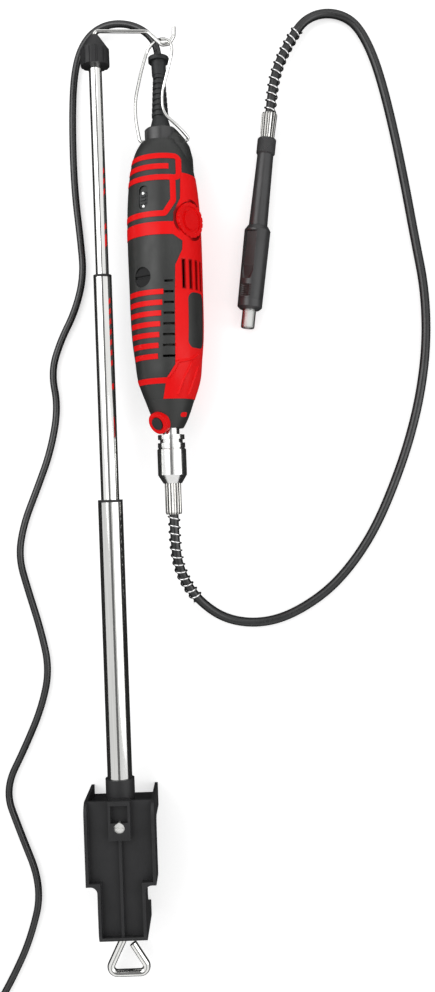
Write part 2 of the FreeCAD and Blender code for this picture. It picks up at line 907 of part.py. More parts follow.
ZONE_FLOOR = 3.0
ZONE_TOP = 60.0
BARS = 7
SLOT_ANGLES = (59, 46, 33, 20)

# Soft bands on the front left, as lines of how far across from the axis and at which station.
CURLED_BAND = [(-40.0, 265.1), (13.4, 265.1), (13.4, 248.1), (-40.0, 248.1)]
STEPPED_BAND = [(8.7, 248.1), (8.7, 230.4), (2.0, 220.3), (-40.0, 220.3)]
STRAIGHT_BANDS = [
    [(-40.0, 256.7), (6.0, 256.7)],
    [(-40.0, 95.5), (6.0, 95.5)],
]
WIDE_BAND = [(-40.0, 209.4), (20.0, 209.4)]

# Left edge of the side panel, from the cord end to the nose.
PANEL_EDGE = [
    (14.6, 252.5),
    (13.8, 232.0),
    (8.6, 221.0),
    (7.6, 204.6),
    (14.6, 200.0),
    (14.2, 193.5),
    (8.6, 181.5),
    (7.6, 160.0),
    (6.0, 107.5),
    (-1.2, 96.6),
    (-4.2, 82.0),
]


def flat_ribbon(corners, width, rounding):
    """An upright strip that follows corners over the front of the barrel."""
    points = [TOOL_AT + Vector(across, station, ZONE_FLOOR) for across, station in corners]
    radii = [rounding] * (len(points) - 2)
    path = bent_path(points, radii)
    half = Vector(0, float(width) / 2, 0)
    if abs(points[1].x - points[0].x) < abs(points[1].y - points[0].y):
        half = Vector(float(width) / 2, 0, 0)
    tall = Vector(0, 0, ZONE_TOP)
    first = points[0]
    near, far = first - half, first + half
    frame = Part.makePolygon([near, far, far + tall, near + tall, near])
    return Part.Wire(path).makePipeShell([frame], True, True)


def bar_band(index, width, start, end):
    """One of the even bars round the barrel's front half, counted towards the nose."""
    middle = float(d.first_bar_y) - index * float(d.bar_pitch)
    return sector(middle - width / 2, middle + width / 2, start, end)


def stripe_zones():
    """The soft bands and bars on the front left of the barrel."""
    width = float(d.stripe_width)
    zones = [
        flat_ribbon(CURLED_BAND, width, 3.4),
        flat_ribbon(STEPPED_BAND, width, 2.6),
        flat_ribbon(WIDE_BAND, 9.6, 0),
    ]
    zones += [flat_ribbon(band, width, 0) for band in STRAIGHT_BANDS]
    zones += [bar_band(index, float(d.bar_width), 92 + 2.2 * index, 163) for index in range(BARS)]
    return zones


def panel_zone():
    """The part of the barrel under the side panel, round to the back."""
    rear = PANEL_EDGE[0][1]
    front = PANEL_EDGE[-1][1]
    corners = [Vector(across, station, 0) for across, station in PANEL_EDGE]
    corners += [Vector(ZONE_TOP, front, 0), Vector(ZONE_TOP, rear, 0)]
    face = Part.Face(Part.makePolygon(corners + corners[:1]))
    seen = face.extrude(Vector(0, 0, ZONE_TOP))
    seen.translate(TOOL_AT)
    return seen.fuse(sector(front, rear, -75, 0)).removeSplitter()


def plate_zone():
    """The rounded plate let into the side panel."""
    block = block_at(outward(d.plate_angle, d.plate_y), d.plate_width, d.plate_length, 15, ZONE_TOP)
    way = outward(d.plate_angle, 0).Rotation.multVec(Vector(0, 0, 1))
    upright = [edge for edge in block.Edges if abs(edge.tangentAt(edge.FirstParameter).dot(way)) > 0.9]
    return block.makeFillet(float(d.plate_round), upright)


def shoulder():
    """The swelling beside the collar that takes the bail's right end."""
    profile = [(0, 250.0), (16.6, 257.0), (16.3, 268.5), (14.2, 277.5), (10.4, 284.0), (4.8, 291.0),
               (0, 291.0)]
    corners = vectors([(across, station, 0) for across, station in profile + profile[:1]])
    lobe = Part.Face(Part.makePolygon(corners)).revolve(Vector(), Vector(0, 1, 0), 360)
    lobe.translate(TOOL_AT + Vector(float(d.shoulder_offset), 0, 0))
    rear = float(d.shell_rear_y)
    ring = float(d.collar_radius + d.shoulder_gap)
    reach = float(d.bail_wire_radius + d.bail_gap)
    pin = Part.makeCylinder(reach, 60, Vector(float(d.tool_x), float(d.bail_pivot_y), float(d.tool_z)),
                            Vector(1, 0, 0))
    inside = barrel(1.0, 240, rear)
    return lobe.cut(all_of([inside, disc(ring, rear, rear + 20), disc(2, 240, 300)])).cut(pin)


def housing_openings(dial, dial_floor):
    """The dial's dish, the switch's slot, the brush holes, the end holes and the vents."""
    front = float(d.shell_front_y)
    rear = float(d.shell_rear_y)
    openings = [
        plug_at(dial, d.dial_radius + d.dial_gap, dial_floor, ZONE_TOP),
        plug_at(dial, 3.5, 10, ZONE_TOP),
        switch_block(0, 15, ZONE_TOP),
    ]
    for turn in (0, 180):
        openings.append(plug_at(outward(d.brush_angle - turn, d.brush_y), d.brush_cap_radius, 15, ZONE_TOP))
    openings.append(disc(4, rear - 10, rear + 1))
    openings.append(disc(16, front - 1, front + 8))
    inner = disc(15, 90, 200)
    for index in range(BARS + 1):
        openings.append(bar_band(index - 1, float(d.vent_width), 76, 90 + index).cut(inner))
    for angle in SLOT_ANGLES:
        openings.append(block_at(outward(angle, d.slot_y), d.slot_width, d.slot_length, 15, ZONE_TOP))
    return all_of(openings)


def make_housing():
    """Two shells, the side panel, the grip stripes and the dark plate, cut from one barrel."""
    front = float(d.shell_front_y)
    rear = float(d.shell_rear_y)
    whole = barrel(0, front, rear)
    hollow = barrel(float(d.shell_wall), front + 3, rear - 3)
    proud = barrel(-float(d.skin_relief), front, rear)
    skin = proud.cut(barrel(float(d.skin_depth), front - 1, rear + 1))

    seats = [
        (disc(40, d.rear_bearing_y - 3, d.rear_bearing_y + 3), float(d.bearing_radius)),
        (disc(40, 121, 124), float(d.stator_radius)),
        (disc(40, 154, 157), float(d.stator_radius)),
    ]
    ribs = [slab.cut(disc(bore, 0, 300)) for slab, bore in seats]
    dial = outward(d.dial_angle, d.dial_y)
    dial_floor = float(d.dial_reach - d.dial_depth - d.dial_gap)
    dish = plug_at(dial, d.dial_radius + 2, dial_floor - 2.5, ZONE_TOP)
    solid = whole.cut(hollow).fuse(all_of(ribs + [dish]).common(whole)).fuse(shoulder()).removeSplitter()

    panel_room = panel_zone()
    plate_room = plate_zone()
    panel = skin.common(panel_room).cut(plate_room)
    stripes = skin.common(all_of(stripe_zones())).cut(panel_room)
    plate = skin.common(plate_room)
    cutter = housing_openings(dial, dial_floor)
    solid = solid.cut(panel).cut(stripes).cut(plate).cut(cutter)

    size = 120.0
    corner = TOOL_AT + Vector(-size / 2, front - 1, 0)
    length = rear - front + 20
    upper = Part.makeBox(size, length, size, corner)
    lower = Part.makeBox(size, length, size, corner - Vector(0, 0, size))
    keep(shaped("front_shell", solid.common(upper)))
    keep(shaped("back_shell", solid.common(lower)))
    keep(shaped("side_panel", panel.cut(cutter)))
    keep(shaped("black_plate", plate))
    return stripes.cut(cutter)


def make_collar():
    """The dark collar at the cord end, with a hole each side for the bail."""
    bore = d.boot_foot_radius
    length = d.collar_top_y - d.shell_rear_y
    outline = [(bore, 0), (d.collar_radius, 0), (d.collar_radius, length - 1), (d.collar_radius - 1, length),
               (bore, length)]
    ring = turned("collar_ring", outline, d.tool_x, d.shell_rear_y, d.tool_z)
    hole = rod("bail_hole", d.bail_wire_radius + d.bail_gap, 60, d.tool_x - 30, d.bail_pivot_y, d.tool_z,
               Rotation(Vector(0, 1, 0), 90))
    return keep(trimmed("rear_collar", ring, hole))


def boot_place():
    """The boot leans down from the collar's mouth, as the lead's weight bends it."""
    turn = Rotation(Vector(1, 0, 0), -float(d.boot_droop))
    return Placement(TOOL_AT + Vector(0, float(d.collar_top_y), 0), turn)


def make_boot():
    """The ribbed strain relief with its foot in the collar."""
    length = float(d.boot_length)
    bore = float(d.boot_bore_radius)
    depth = float(d.boot_bore_depth)
    rib_start, rib_end, ribs = 8.0, 43.0, 8
    pitch = (rib_end - rib_start) / ribs
    profile = [(8.2, 0), (7.6, 2.5), (6.2, rib_start)]
    for index in range(ribs):
        low = rib_start + index * pitch
        radius = 6.5 - index * 0.24
        profile += [(radius - 1.0, low + 0.2), (radius - 1.0, low + 1.5), (radius, low + 1.9),
                    (radius, low + pitch)]
    profile += [(5.4, rib_end + 0.4), (5.8, length - 3.6), (8.0, length - 3.3), (8.0, length), (bore, length),
                (bore, length - depth), (0, length - depth), (0, 0)]
    corners = vectors([(across, along, 0) for across, along in profile + profile[:1]])
    relief = Part.Face(Part.makePolygon(corners)).revolve(Vector(), Vector(0, 1, 0), 360)
    relief.Placement = boot_place()
    foot = disc(d.boot_foot_radius, d.shell_rear_y, d.collar_top_y)
    return keep(shaped("cord_boot", relief.fuse(foot).removeSplitter()))


BAIL_ROUTE = [
    (1.2, 283.0, 28.6),
    (15.0, 283.0, 28.6),
    (7.0, 291.5, 33.4),
    (-5.4, 302.0, 37.8),
    (-5.6, 317.0, 39.2),
    (0.4, 336.0, 42.2),
    (3.6, 347.0, 43.8),
    (2.4, 354.6, 43.0),
    (-3.0, 358.6, 38.6),
    (-9.4, 359.8, 32.0),
    (-16.0, 355.0, 27.2),
    (-21.5, 338.5, 26.9),
    (-26.9, 316.0, 27.6),
    (-27.0, 300.0, 28.4),
    (-24.2, 283.0, 28.6),
    (-17.2, 283.0, 28.6),
]


def make_bail():
    """The wire loop, from its pin on the right over the hook's seat to its pin on the left."""
    corners = vectors(BAIL_ROUTE)
    radii = cord_radii(corners)
    radii[0] = 1.8
    radii[-1] = 2.6
    return keep(shaped("bail", tube_along(bent_path(corners, radii), float(d.bail_wire_radius))))


DIAL_NOTCHES = 18


def make_dial():
    """The dial: a notched rim round a dished face with a raised middle, on a stem."""
    place = outward(d.dial_angle, d.dial_y)
    radius = float(d.dial_radius)
    base = float(d.dial_reach - d.dial_depth)
    top = float(d.dial_reach)
    inner = radius - float(d.dial_rim)
    knob = plug_at(place, radius, base, top).cut(plug_at(place, inner, top - 1.0, top + 1))
    knob = knob.fuse(plug_at(place, inner - 3.0, top - 1.5, top + 0.4))
    notches = []
    for index in range(DIAL_NOTCHES):
        around = Placement(Vector(), Rotation(Vector(0, 0, 1), index * 360 / DIAL_NOTCHES))
        notch = Part.makeCylinder(float(d.dial_notch_radius), top - base, Vector(radius + 0.2, 0, base + 1.5))
        notch.Placement = place.multiply(around)
        notches.append(notch)
    stem = plug_at(place, 3.0, 17, base)
    return keep(shaped("speed_dial", knob.cut(all_of(notches)).fuse(stem).removeSplitter()))


def switch_block(shrink, low, high, length=None, along=0.0):
    """A long block with round ends at the switch, drawn in by a margin."""
    place = outward(d.switch_angle, float(d.switch_y) + along)
    width = float(d.switch_width) - shrink
    span = (length or float(d.switch_length)) - shrink
    block = block_at(place, width, span, low, high)
    way = place.Rotation.multVec(Vector(0, 0, 1))
    upright = [edge for edge in block.Edges if abs(edge.tangentAt(edge.FirstParameter).dot(way)) > 0.9]
    return block.makeFillet(width * 0.45, upright)


def make_switch():
    """The dark floor of the switch's recess and the slider with its finger ridge."""
    keep(shaped("switch_plate", switch_block(0, 22.0, 25.2)))
    travel = float(d.switch_travel)
    length = float(d.switch_length) - travel
    slider = switch_block(0.8, 25.4, 27.0, length, -travel / 2)
    ridges = []
    for step in (-2.6, 0.0, 2.6):
        place = outward(d.switch_angle, float(d.switch_y) - travel / 2 + step)
        ridges.append(block_at(place, d.switch_width - 3, 1.2, 26.9, 27.8))
    keep(shaped("switch_slider", all_of([slider] + ridges)))


def make_brush(side, turn):
    """A slotted cap in the shell and the carbon brush behind it."""
    place = outward(d.brush_angle - turn, d.brush_y)
    cap = plug_at(place, d.brush_cap_radius, 22.5, 27.0)
    slot = block_at(place, 20, 2.0, 25.8, 30)
    keep(shaped(f"{side}_brush_cap", cap.cut(slot)))
    keep(shaped(f"{side}_brush", block_at(place, 5, 8, d.commutator_radius + 0.3, 22.5)))


def make_motor():
    """The field, the turning parts on their shaft and the two bearings."""
    gap = d.rotor_gap
    stator = turned("field_stator", [
        (d.rotor_radius + gap, 0), (d.stator_radius, 0), (d.stator_radius, 42), (d.rotor_radius + gap, 42),
    ], d.tool_x, 118, d.tool_z)
    keep(stator)
    shaft = d.spindle_radius
    keep(turned("motor_rotor", [
        (0, 45), (shaft, 45), (shaft, 120), (d.rotor_radius, 120), (d.rotor_radius, 158), (shaft + 3, 158),
        (shaft + 3, 167), (d.commutator_radius, 167), (d.commutator_radius, 181), (shaft, 181), (shaft, 268),
        (0, 268),
    ], d.tool_x, 0, d.tool_z))
    for label, middle in (("rear_bearing", d.rear_bearing_y), ("front_bearing", d.front_bearing_y)):
        half = d.bearing_length / 2
        bore = shaft + d.spindle_gap
        keep(turned(label, [(bore, -half), (d.bearing_radius, -half), (d.bearing_radius, half), (bore, half)],
                    d.tool_x, middle, d.tool_z))
    make_fan()


def make_fan():
    """The cooling fan: a hub and a back plate with upright blades."""
    shaft = float(d.spindle_radius)
    hub = disc(6, 103, 114)
    plate = disc(19, 103, 104.5)
    blades = []
    for index in range(9):
        place = outward(index * 40, 109)
        blades.append(block_at(place, 1.2, 9.5, 5.0, 18.5))
    fan = all_of([hub, plate] + blades).cut(disc(shaft, 90, 120))
    return keep(shaped("cooling_fan", fan))


def make_nose(stripes):
    """The dark nose with its bearing seat, bores, lock and the small soft mark among the stripes."""
    front = float(d.nose_front_y)
    back = float(d.shell_front_y)
    solid = barrel(0, front, back)
    lock = outward(d.lock_angle, d.lock_y, 0, d.lock_tilt)
    seat = float(d.lock_reach) - 5.0
    cuts = [
        disc(d.nose_bore_radius, front - 1, front + 8),
        disc(d.spindle_radius + 0.5, front, back),
        disc(d.bearing_radius, float(d.front_bearing_y) - 3, back + 1),
        plug_at(lock, d.lock_ring_radius, seat, 40),
        plug_at(lock, d.lock_button_radius + 0.3, seat - 2.2, 40),
    ]
    mark = block_at(outward(d.mark_angle, d.mark_y), d.mark_width, d.mark_length, 5, 40)
    way = outward(d.mark_angle, 0).Rotation.multVec(Vector(0, 0, 1))
    upright = [edge for edge in mark.Edges if abs(edge.tangentAt(edge.FirstParameter).dot(way)) > 0.9]
    mark = mark.makeFillet(float(d.mark_length) * 0.45, upright)
    inlay = mark.common(barrel(-0.2, front, back).cut(barrel(1.0, front, back)))
    keep(shaped("nose_cone", solid.cut(all_of(cuts)).cut(inlay)))
    keep(shaped("grip_stripes", Part.makeCompound(list(stripes.Solids) + [inlay])))
    reach = float(d.lock_reach)
    ring = plug_at(lock, d.lock_ring_radius, seat, reach).cut(
        plug_at(lock, d.lock_button_radius + 0.3, seat - 1, reach + 1))
    keep(shaped("lock_ring", ring))
    button = plug_at(lock, d.lock_button_radius, seat - 2.2 + d.lock_travel + 0.3, reach + 1.0)
    keep(shaped("lock_button", button))


def make_coupling_nut():
    """The bright nut that joins the flex shaft to the nose: neck, two rims, a barrel and a cone."""
    bore = d.coupling_bore
    front = d.coupling_front_y
    keep(turned("coupling_nut", [
        (bore, 64), (d.nut_neck_radius, 64), (d.nut_neck_radius, 55.5), (10.3, 55.5), (10.3, 52), (8.8, 52),
        (8.8, 49.2), (10.6, 49.2), (10.6, 45.8), (10.0, 45.2), (d.coupling_radius, 44.2),
        (d.coupling_radius, 24.5), (10.0, 22.6), (7.2, front), (bore, front),
    ], d.tool_x, 0, d.tool_z))


def make_tool():
    stripes = make_housing()
    make_collar()
    make_boot()
    make_bail()
    make_dial()
    make_switch()
    make_brush("front", 0)
    make_brush("back", 180)
    make_motor()
    make_nose(stripes)
    make_coupling_nut()


# Flex shaft

SHEATH_ROUTE = [
    (-8.0, -24.0, 28.6),
    (-6.6, -43.0, 25.8),
    (-0.5, -61.0, 19.0),
    (10.5, -76.5, 12.0),
    (27.0, -89.5, 6.6),
    (47.5, -95.0, 4.2),
    (69.0, -93.5, 3.9),
    (90.5, -85.0, 3.8),
    (114.0, -69.5, 3.9),
    (134.5, -47.5, 3.8),
    (152.0, -21.0, 3.9),
    (167.0, 11.0, 3.8),
    (180.5, 46.0, 3.9),
    (191.0, 84.0, 3.8),
    (197.0, 124.0, 3.9),
    (197.0, 166.0, 3.8),
    (190.5, 206.0, 3.9),
    (184.0, 250.0, 3.8),
    (176.5, 294.0, 3.9),
    (168.0, 334.0, 3.8),
    (160.0, 359.4, 3.9),
    (150.4, 377.3, 4.0),
    (140.2, 385.2, 4.3),
    (127.5, 388.2, 4.9),
    (114.8, 385.7, 5.9),
    (104.3, 378.1, 7.1),
    (92.0, 358.5, 9.2),
    (84.8, 343.0, 10.3),
]


def hand_frame():
    """The handpiece's own frame: Y runs from its nose to the flex shaft."""
    turn = Rotation(Vector(0, 0, 1), float(d.hand_angle))
    return Placement(Vector(float(d.hand_x), float(d.hand_y), float(d.hand_z)), turn)


def sheath_path():
    """The route of the sheath from the tool's ferrule to the one on the handpiece."""
    length = float(d.grip_length + d.neck_length + d.collet_nut_length + d.hand_nut_length
                   + d.hand_ferrule_length)
    start = Vector(float(d.tool_x), float(d.ferrule_end_y), float(d.tool_z))
    end = hand_frame().multVec(Vector(0, length, 0))
    lead = hand_frame().multVec(Vector(0, length + float(d.sheath_lead), 0))
    corners = [start] + vectors(SHEATH_ROUTE) + [lead, end]
    return corners, bent_path(corners, cord_radii(corners))


def spring_points(path, start, sign, phase=0.0):
    """The centre line of a spring wound round the sheath, as a function of turns."""
    reach = float(d.sheath_radius + d.spring_wire_radius) + 0.1
    pitch = float(d.spring_pitch)

    def point_at(turns):
        spot, way = place_on(path, start + sign * pitch * turns)
        across = way.cross(Vector(0, 0, 1)).normalize()
        over = across.cross(way)
        angle = 2 * math.pi * turns + phase
        return spot + across * (reach * math.cos(angle)) + over * (reach * math.sin(angle))

    return point_at


def make_spring(label, path, start, sign):
    halves = int(2 * d.spring_turns.value)
    point_at = spring_points(path, start, sign)
    radius = float(d.spring_wire_radius)
    edges = straight_ends(wound_path(point_at, [half / 2 for half in range(halves + 1)]), 2 * radius)
    gap = least_self_gap(edges, radius, 2 * math.pi * float(d.sheath_radius) * 0.7)
    print(f"{label} least gap between its turns {gap:.2f} mm")
    return keep(shaped(label, tube_along(Part.Wire(edges), radius, WIRE_SIDES)))


def make_flex_shaft():
    ferrule = d.ferrule_radius
    length = d.coupling_front_y - d.ferrule_end_y
    keep(turned("tool_ferrule", [
        (0, 0), (ferrule - 0.6, 0), (ferrule, 1.5), (ferrule, length), (0, length),
    ], d.tool_x, d.ferrule_end_y, d.tool_z))
    corners, path = sheath_path()
    print(f"flex shaft {path.Length:.0f} mm, least bend {min(cord_radii(corners)):.0f} mm")
    sheath = tube_along(path, float(d.sheath_radius), CORD_SIDES)
    keep(shaped("flex_sheath", sheath))
    make_spring("tool_spring", path, 1.5, 1)
    make_spring("hand_spring", path, path.Length - 1.5, -1)


def hand_piece(label, outline):
    place = hand_frame()
    return keep(turned(label, outline, d.hand_x, d.hand_y, d.hand_z, place.Rotation))


def rest_block(low_station, high_station, floor_low, floor_high):
    """A wedge off the grip's side, its floor running from one depth to another."""
    half = float(d.grip_rest_width) / 2
    outer = 20.0
    corners = [(floor_low, low_station), (outer, low_station), (outer, high_station),
               (floor_high, high_station)]
    points = [Vector(reach, station, -half) for reach, station in corners]
    solid = Part.Face(Part.makePolygon(points + points[:1])).extrude(Vector(0, 0, 2 * half))
    turn = Placement(Vector(), Rotation(Vector(0, 1, 0), -float(d.grip_rest_angle)))
    solid.Placement = hand_frame().multiply(turn)
    return solid


def grip_rest():
    """The thumb rest on the grip: a hollow with a ramp, a step and fine grooves before it."""
    floor = float(d.grip_rest_floor)
    edge = float(d.grip_radius)
    cuts = [
        rest_block(48.3, 76.0, floor, floor),
        rest_block(38.0, 48.31, edge - 0.9, floor),
        rest_block(24.0, 33.6, edge - 1.0, edge - 1.0),
    ]
    deep = edge - 1.0 - float(d.grip_groove_depth)
    cuts += [rest_block(24.6 + 1.6 * index, 25.3 + 1.6 * index, deep, deep) for index in range(6)]
    return all_of(cuts)


def make_handpiece():
    """The grip with its neck, the spindle in two bearings, the collet and its nut."""
    nut = d.collet_nut_length
    grip_start = nut + 0.3
    grip_end = nut + d.grip_length
    neck_end = grip_end + d.neck_length
    cap_end = neck_end + d.hand_nut_length
    spindle = d.hand_spindle_radius
    collet = d.collet_radius
    hand_piece("collet_nut", [
        (2.4, 0), (d.collet_nut_radius - 0.8, 0), (d.collet_nut_radius, 0.8), (d.collet_nut_radius, nut),
        (spindle, nut), (spindle, 6), (collet, 6), (collet, 0.8), (2.4, 0.8),
    ])
    bore_end = d.collet_bore_length + 0.8
    hand_piece("collet", [
        (d.collet_bore_radius, 0.8), (collet, 0.8), (collet, 18), (0, 18), (0, bore_end),
        (d.collet_bore_radius, bore_end),
    ])
    shaft = d.spindle_radius
    hand_piece("hand_spindle", [
        (collet, 6), (spindle, 6), (spindle, 60), (shaft, 60), (shaft, cap_end - 4), (0, cap_end - 4),
        (0, 18), (collet, 18),
    ])
    bore = spindle + 0.5
    seat = d.hand_bearing_radius
    grip = turned("grip_body", [
        (bore, grip_start), (d.grip_front_radius - 2, grip_start), (d.grip_front_radius, grip_start + 2),
        (d.grip_radius, grip_end - 3.5), (d.neck_front_radius + 0.6, grip_end), (bore, grip_end),
        (bore, 40), (seat, 40), (seat, 20), (bore, 20),
    ], d.hand_x, d.hand_y, d.hand_z, hand_frame().Rotation)
    keep(trimmed("hand_grip", grip, shaped("grip_rest", grip_rest())))
    hand_piece("hand_front_bearing", [
        (spindle + d.spindle_gap, 26), (seat, 26), (seat, 32), (spindle + d.spindle_gap, 32),
    ])
    neck_bore = shaft + 0.7
    rear_seat = d.hand_rear_bearing_radius
    hand_piece("hand_neck", [
        (neck_bore, grip_end), (d.neck_front_radius, grip_end), (d.neck_rear_radius, neck_end),
        (rear_seat, neck_end), (rear_seat, neck_end - 6), (neck_bore, neck_end - 6),
    ])
    hand_piece("hand_rear_bearing", [
        (shaft + d.spindle_gap, neck_end - 6), (rear_seat, neck_end - 6), (rear_seat, neck_end),
        (shaft + d.spindle_gap, neck_end),
    ])
    hand_piece("hand_nut", [
        (neck_bore, neck_end), (d.hand_nut_radius - 0.6, neck_end), (d.hand_nut_radius, neck_end + 0.8),
        (d.hand_nut_radius, cap_end - 0.8), (d.hand_nut_radius - 0.6, cap_end), (neck_bore, cap_end),
    ])
    hand_piece("hand_ferrule", [
        (0, cap_end), (5.6, cap_end), (6.2, cap_end + d.hand_ferrule_length - 1),
        (5.8, cap_end + d.hand_ferrule_length), (0, cap_end + d.hand_ferrule_length),
    ])


# Mains lead

CORD_ROUTE = [
    (-8.0, 355.5, 22.0),
    (-12.6, 366.7, 20.8),
    (-21.8, 375.4, 18.9),
    (-34.2, 380.8, 15.6),
    (-48.0, 382.0, 11.6),
    (-60.6, 377.4, 7.8),
    (-69.6, 367.0, 5.2),
    (-75.0, 352.0, 3.6),
    (-78.0, 330.0, 3.0),
    (-79.4, 292.0, 3.1),
    (-79.0, 252.0, 3.0),
    (-75.8, 215.0, 3.1),
    (-74.2, 186.0, 3.0),
    (-82.0, 158.0, 3.1),
    (-95.0, 134.0, 3.0),
    (-102.8, 110.0, 3.1),
    (-98.2, 82.0, 3.0),
    (-105.5, 47.0, 3.1),
    (-118.0, 16.0, 3.0),
    (-129.0, -10.0, 3.1),
    (-134.0, -36.0, 3.0),
    (-127.5, -62.0, 3.1),
    (-118.5, -94.0, 3.0),
    (-112.4, -126.0, 3.1),
    (-119.5, -156.0, 3.0),
    (-133.5, -187.0, 3.1),
    (-151.5, -221.0, 3.0),
    (-141.0, -253.0, 3.1),
    (-124.0, -300.0, 3.0),
    (-135.0, -341.0, 3.1),
    (-151.0, -373.0, 3.0),
    (-164.0, -394.0, 3.3),
]


def coil_centre():
    return Vector(float(d.coil_x), float(d.coil_y), float(d.cord_radius + d.coil_lift))


def coil_point(turns):
    """The centre line of the put-away coil: in, half a turn up, out, and away to the plug."""
    radius_in = float(d.coil_inner_radius)
    step = float(d.coil_step)
    flat = float(d.coil_layer_turns)
    rise = float(2 * d.cord_radius + d.coil_gap)
    outward_turns = flat - 0.5
    last = flat + 0.5 + outward_turns
    wound = min(turns, last)
    if wound <= flat:
        radius = radius_in + step * (flat - wound)
        height = 0.0
    elif wound <= flat + 0.5:
        radius = radius_in
        share = (wound - flat) / 0.5
        height = rise * share * share * (3 - 2 * share)
    else:
        radius = radius_in + step * (wound - flat - 0.5)
        height = rise
    angle = math.pi + 2 * math.pi * wound
    spot = coil_centre() + Vector(radius * math.cos(angle), radius * math.sin(angle), height)
    beyond = turns - last
    if beyond > 0:
        away = beyond * 2 * math.pi * radius
        level = float(d.coil_tail) / 3
        share = min(1.0, max(0.0, away - level) / (float(d.coil_tail) - level))
        drop = float(d.coil_drop) * share * share * (3 - 2 * share)
        spot += Vector(0, -away, -drop)
    return spot


def coil_turns():
    """How many turns the coil and its tail go on for."""
    last = 2 * float(d.coil_layer_turns)
    radius = float(d.coil_inner_radius + d.coil_step * (d.coil_layer_turns - 0.5))
    return last + float(d.coil_tail) / (2 * math.pi * radius)


def coil_edges():
    total = coil_turns()
    last = 2 * float(d.coil_layer_turns)
    stations = [index / 4 for index in range(int(last * 4) + 1)]
    stations += [last + (total - last) * share for share in (0.33, 0.6, 0.8, 1.0)]
    return wound_path(coil_point, stations)


def make_mains_lead():
    place = boot_place()
    start = place.multVec(Vector(0, float(d.boot_length - d.boot_bore_depth), 0))
    radius = float(d.cord_radius)
    coil = straight_ends(coil_edges(), 2 * radius)
    entry = coil[0].valueAt(coil[0].FirstParameter)
    way = coil[0].tangentAt(coil[0].FirstParameter)
    corners = [start] + vectors(CORD_ROUTE) + [entry - way * float(d.coil_lead), entry]
    radii = cord_radii(corners)
    path = bent_path(corners, radii)
    print(f"mains cord {path.Length:.0f} mm, least bend {min(radii):.0f} mm")
    cord = tube_along(path, radius, CORD_SIDES)
    section = section_area(radius, CORD_SIDES)
    print(f"mains cord volume over section times length {cord.Volume / (section * path.Length):.4f}")
    keep(shaped("mains_cord", cord))

    gap = least_self_gap(coil, radius, 2 * math.pi * float(d.coil_inner_radius) * 0.7)
    wire = Part.Wire(coil)
    print(f"coil {wire.Length:.0f} mm, least gap between its turns {gap:.2f} mm")
    keep(shaped("cord_coil", tube_along(wire, radius, CORD_SIDES)))
    make_tie()
    make_plug(coil[-1].valueAt(coil[-1].LastParameter))


def make_tie():
    """The band round the bundle of turns."""
    angle = math.radians(float(d.tie_angle))
    inner = float(d.coil_inner_radius) - float(d.cord_radius) - 0.6
    outer = float(d.coil_inner_radius + d.coil_step * d.coil_layer_turns + d.cord_radius) - 1.2
    top = float(d.coil_lift + 4 * d.cord_radius + d.coil_gap) + 0.3
    low = float(d.coil_lift) - 0.3
    wall = float(d.tie_wall)
    width = float(d.tie_width)
    loop = Part.makeBox(outer - inner + 2 * wall, width, top - low + 2 * wall,
                        Vector(inner - wall, -width / 2, low - wall))
    room = Part.makeBox(outer - inner, width + 2, top - low, Vector(inner, -width / 2 - 1, low))
    band = loop.makeFillet(wall, [edge for edge in loop.Edges if abs(edge.tangentAt(0).y) > 0.9]).cut(room)
    band.Placement = Placement(Vector(float(d.coil_x), float(d.coil_y), 0),
                               Rotation(Vector(0, 0, 1), math.degrees(angle)))
    return keep(shaped("coil_tie", band))


def make_plug(end):
    """A flat two-pin plug at the lead's end, with its pins away from the coil."""
    broad, height, body_length = 28.2, 13.7, 35.5
    pin_radius, pin_length, pin_offset = 2.0, 19.0, 9.3
    stations = [(0, 4.6, 4.6), (6, 5.2, 5.0), (22, 17.4, height), (body_length, broad, height)]
    wires = []
    for along, width, thick in stations:
        wires.append(rounded_frame(end - Vector(0, along, 0), width, thick, min(width, thick) * 0.3))
    body = Part.makeLoft(wires, True, True)
    for side in (-1, 1):
        pin_start = end + Vector(side * pin_offset, -body_length, 0)
        body = body.fuse(Part.makeCylinder(pin_radius, pin_length, pin_start, Vector(0, -1, 0)))
    return keep(shaped("mains_plug", body))


def rounded_frame(middle, width, height, corner):
    """A rounded rectangle that faces along Y."""
    w = width / 2
    h = height / 2
    slant = corner * (1 - math.sqrt(0.5))
    knees = [(w, h, 1, 1), (-w, h, -1, 1), (-w, -h, -1, -1), (w, -h, 1, -1)]
    edges = []
    starts = []
    for x, z, sx, sz in knees:
        first = Vector(x, 0, z - sz * corner) if sx * sz > 0 else Vector(x - sx * corner, 0, z)
        last = Vector(x - sx * corner, 0, z) if sx * sz > 0 else Vector(x, 0, z - sz * corner)
        knee = Vector(x - sx * slant, 0, z - sz * slant)
        starts.append((middle + first, middle + knee, middle + last))
    for index, (first, knee, last) in enumerate(starts):
        edges.append(Part.Arc(first, knee, last).toShape())
        edges.append(Part.LineSegment(last, starts[(index + 1) % 4][0]).toShape())
    return Part.Wire(edges)


# Building, checking and writing out

def check_all():
    doc.recompute()
    faults = [item.Name for item in doc.Objects if {"Invalid", "Error"} & set(item.State)]
    for item in nodes:
        shape = item.Shape
        if shape.isNull() or not shape.isValid() or shape.Volume <= 0 or not shape.Solids:
            faults.append(f"{item.Label} has no sound solid")
    if faults:
        raise SystemExit("faults: " + ", ".join(faults))


def write_parts():
    os.makedirs("parts", exist_ok=True)
    for item in nodes:
        item.Shape.exportStep(f"parts/{item.Label}.step")


make_stand()
make_tool()
make_flex_shaft()
make_handpiece()
make_mains_lead()
check_all()
write_parts()
print(len(nodes), "nodes")
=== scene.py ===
import math

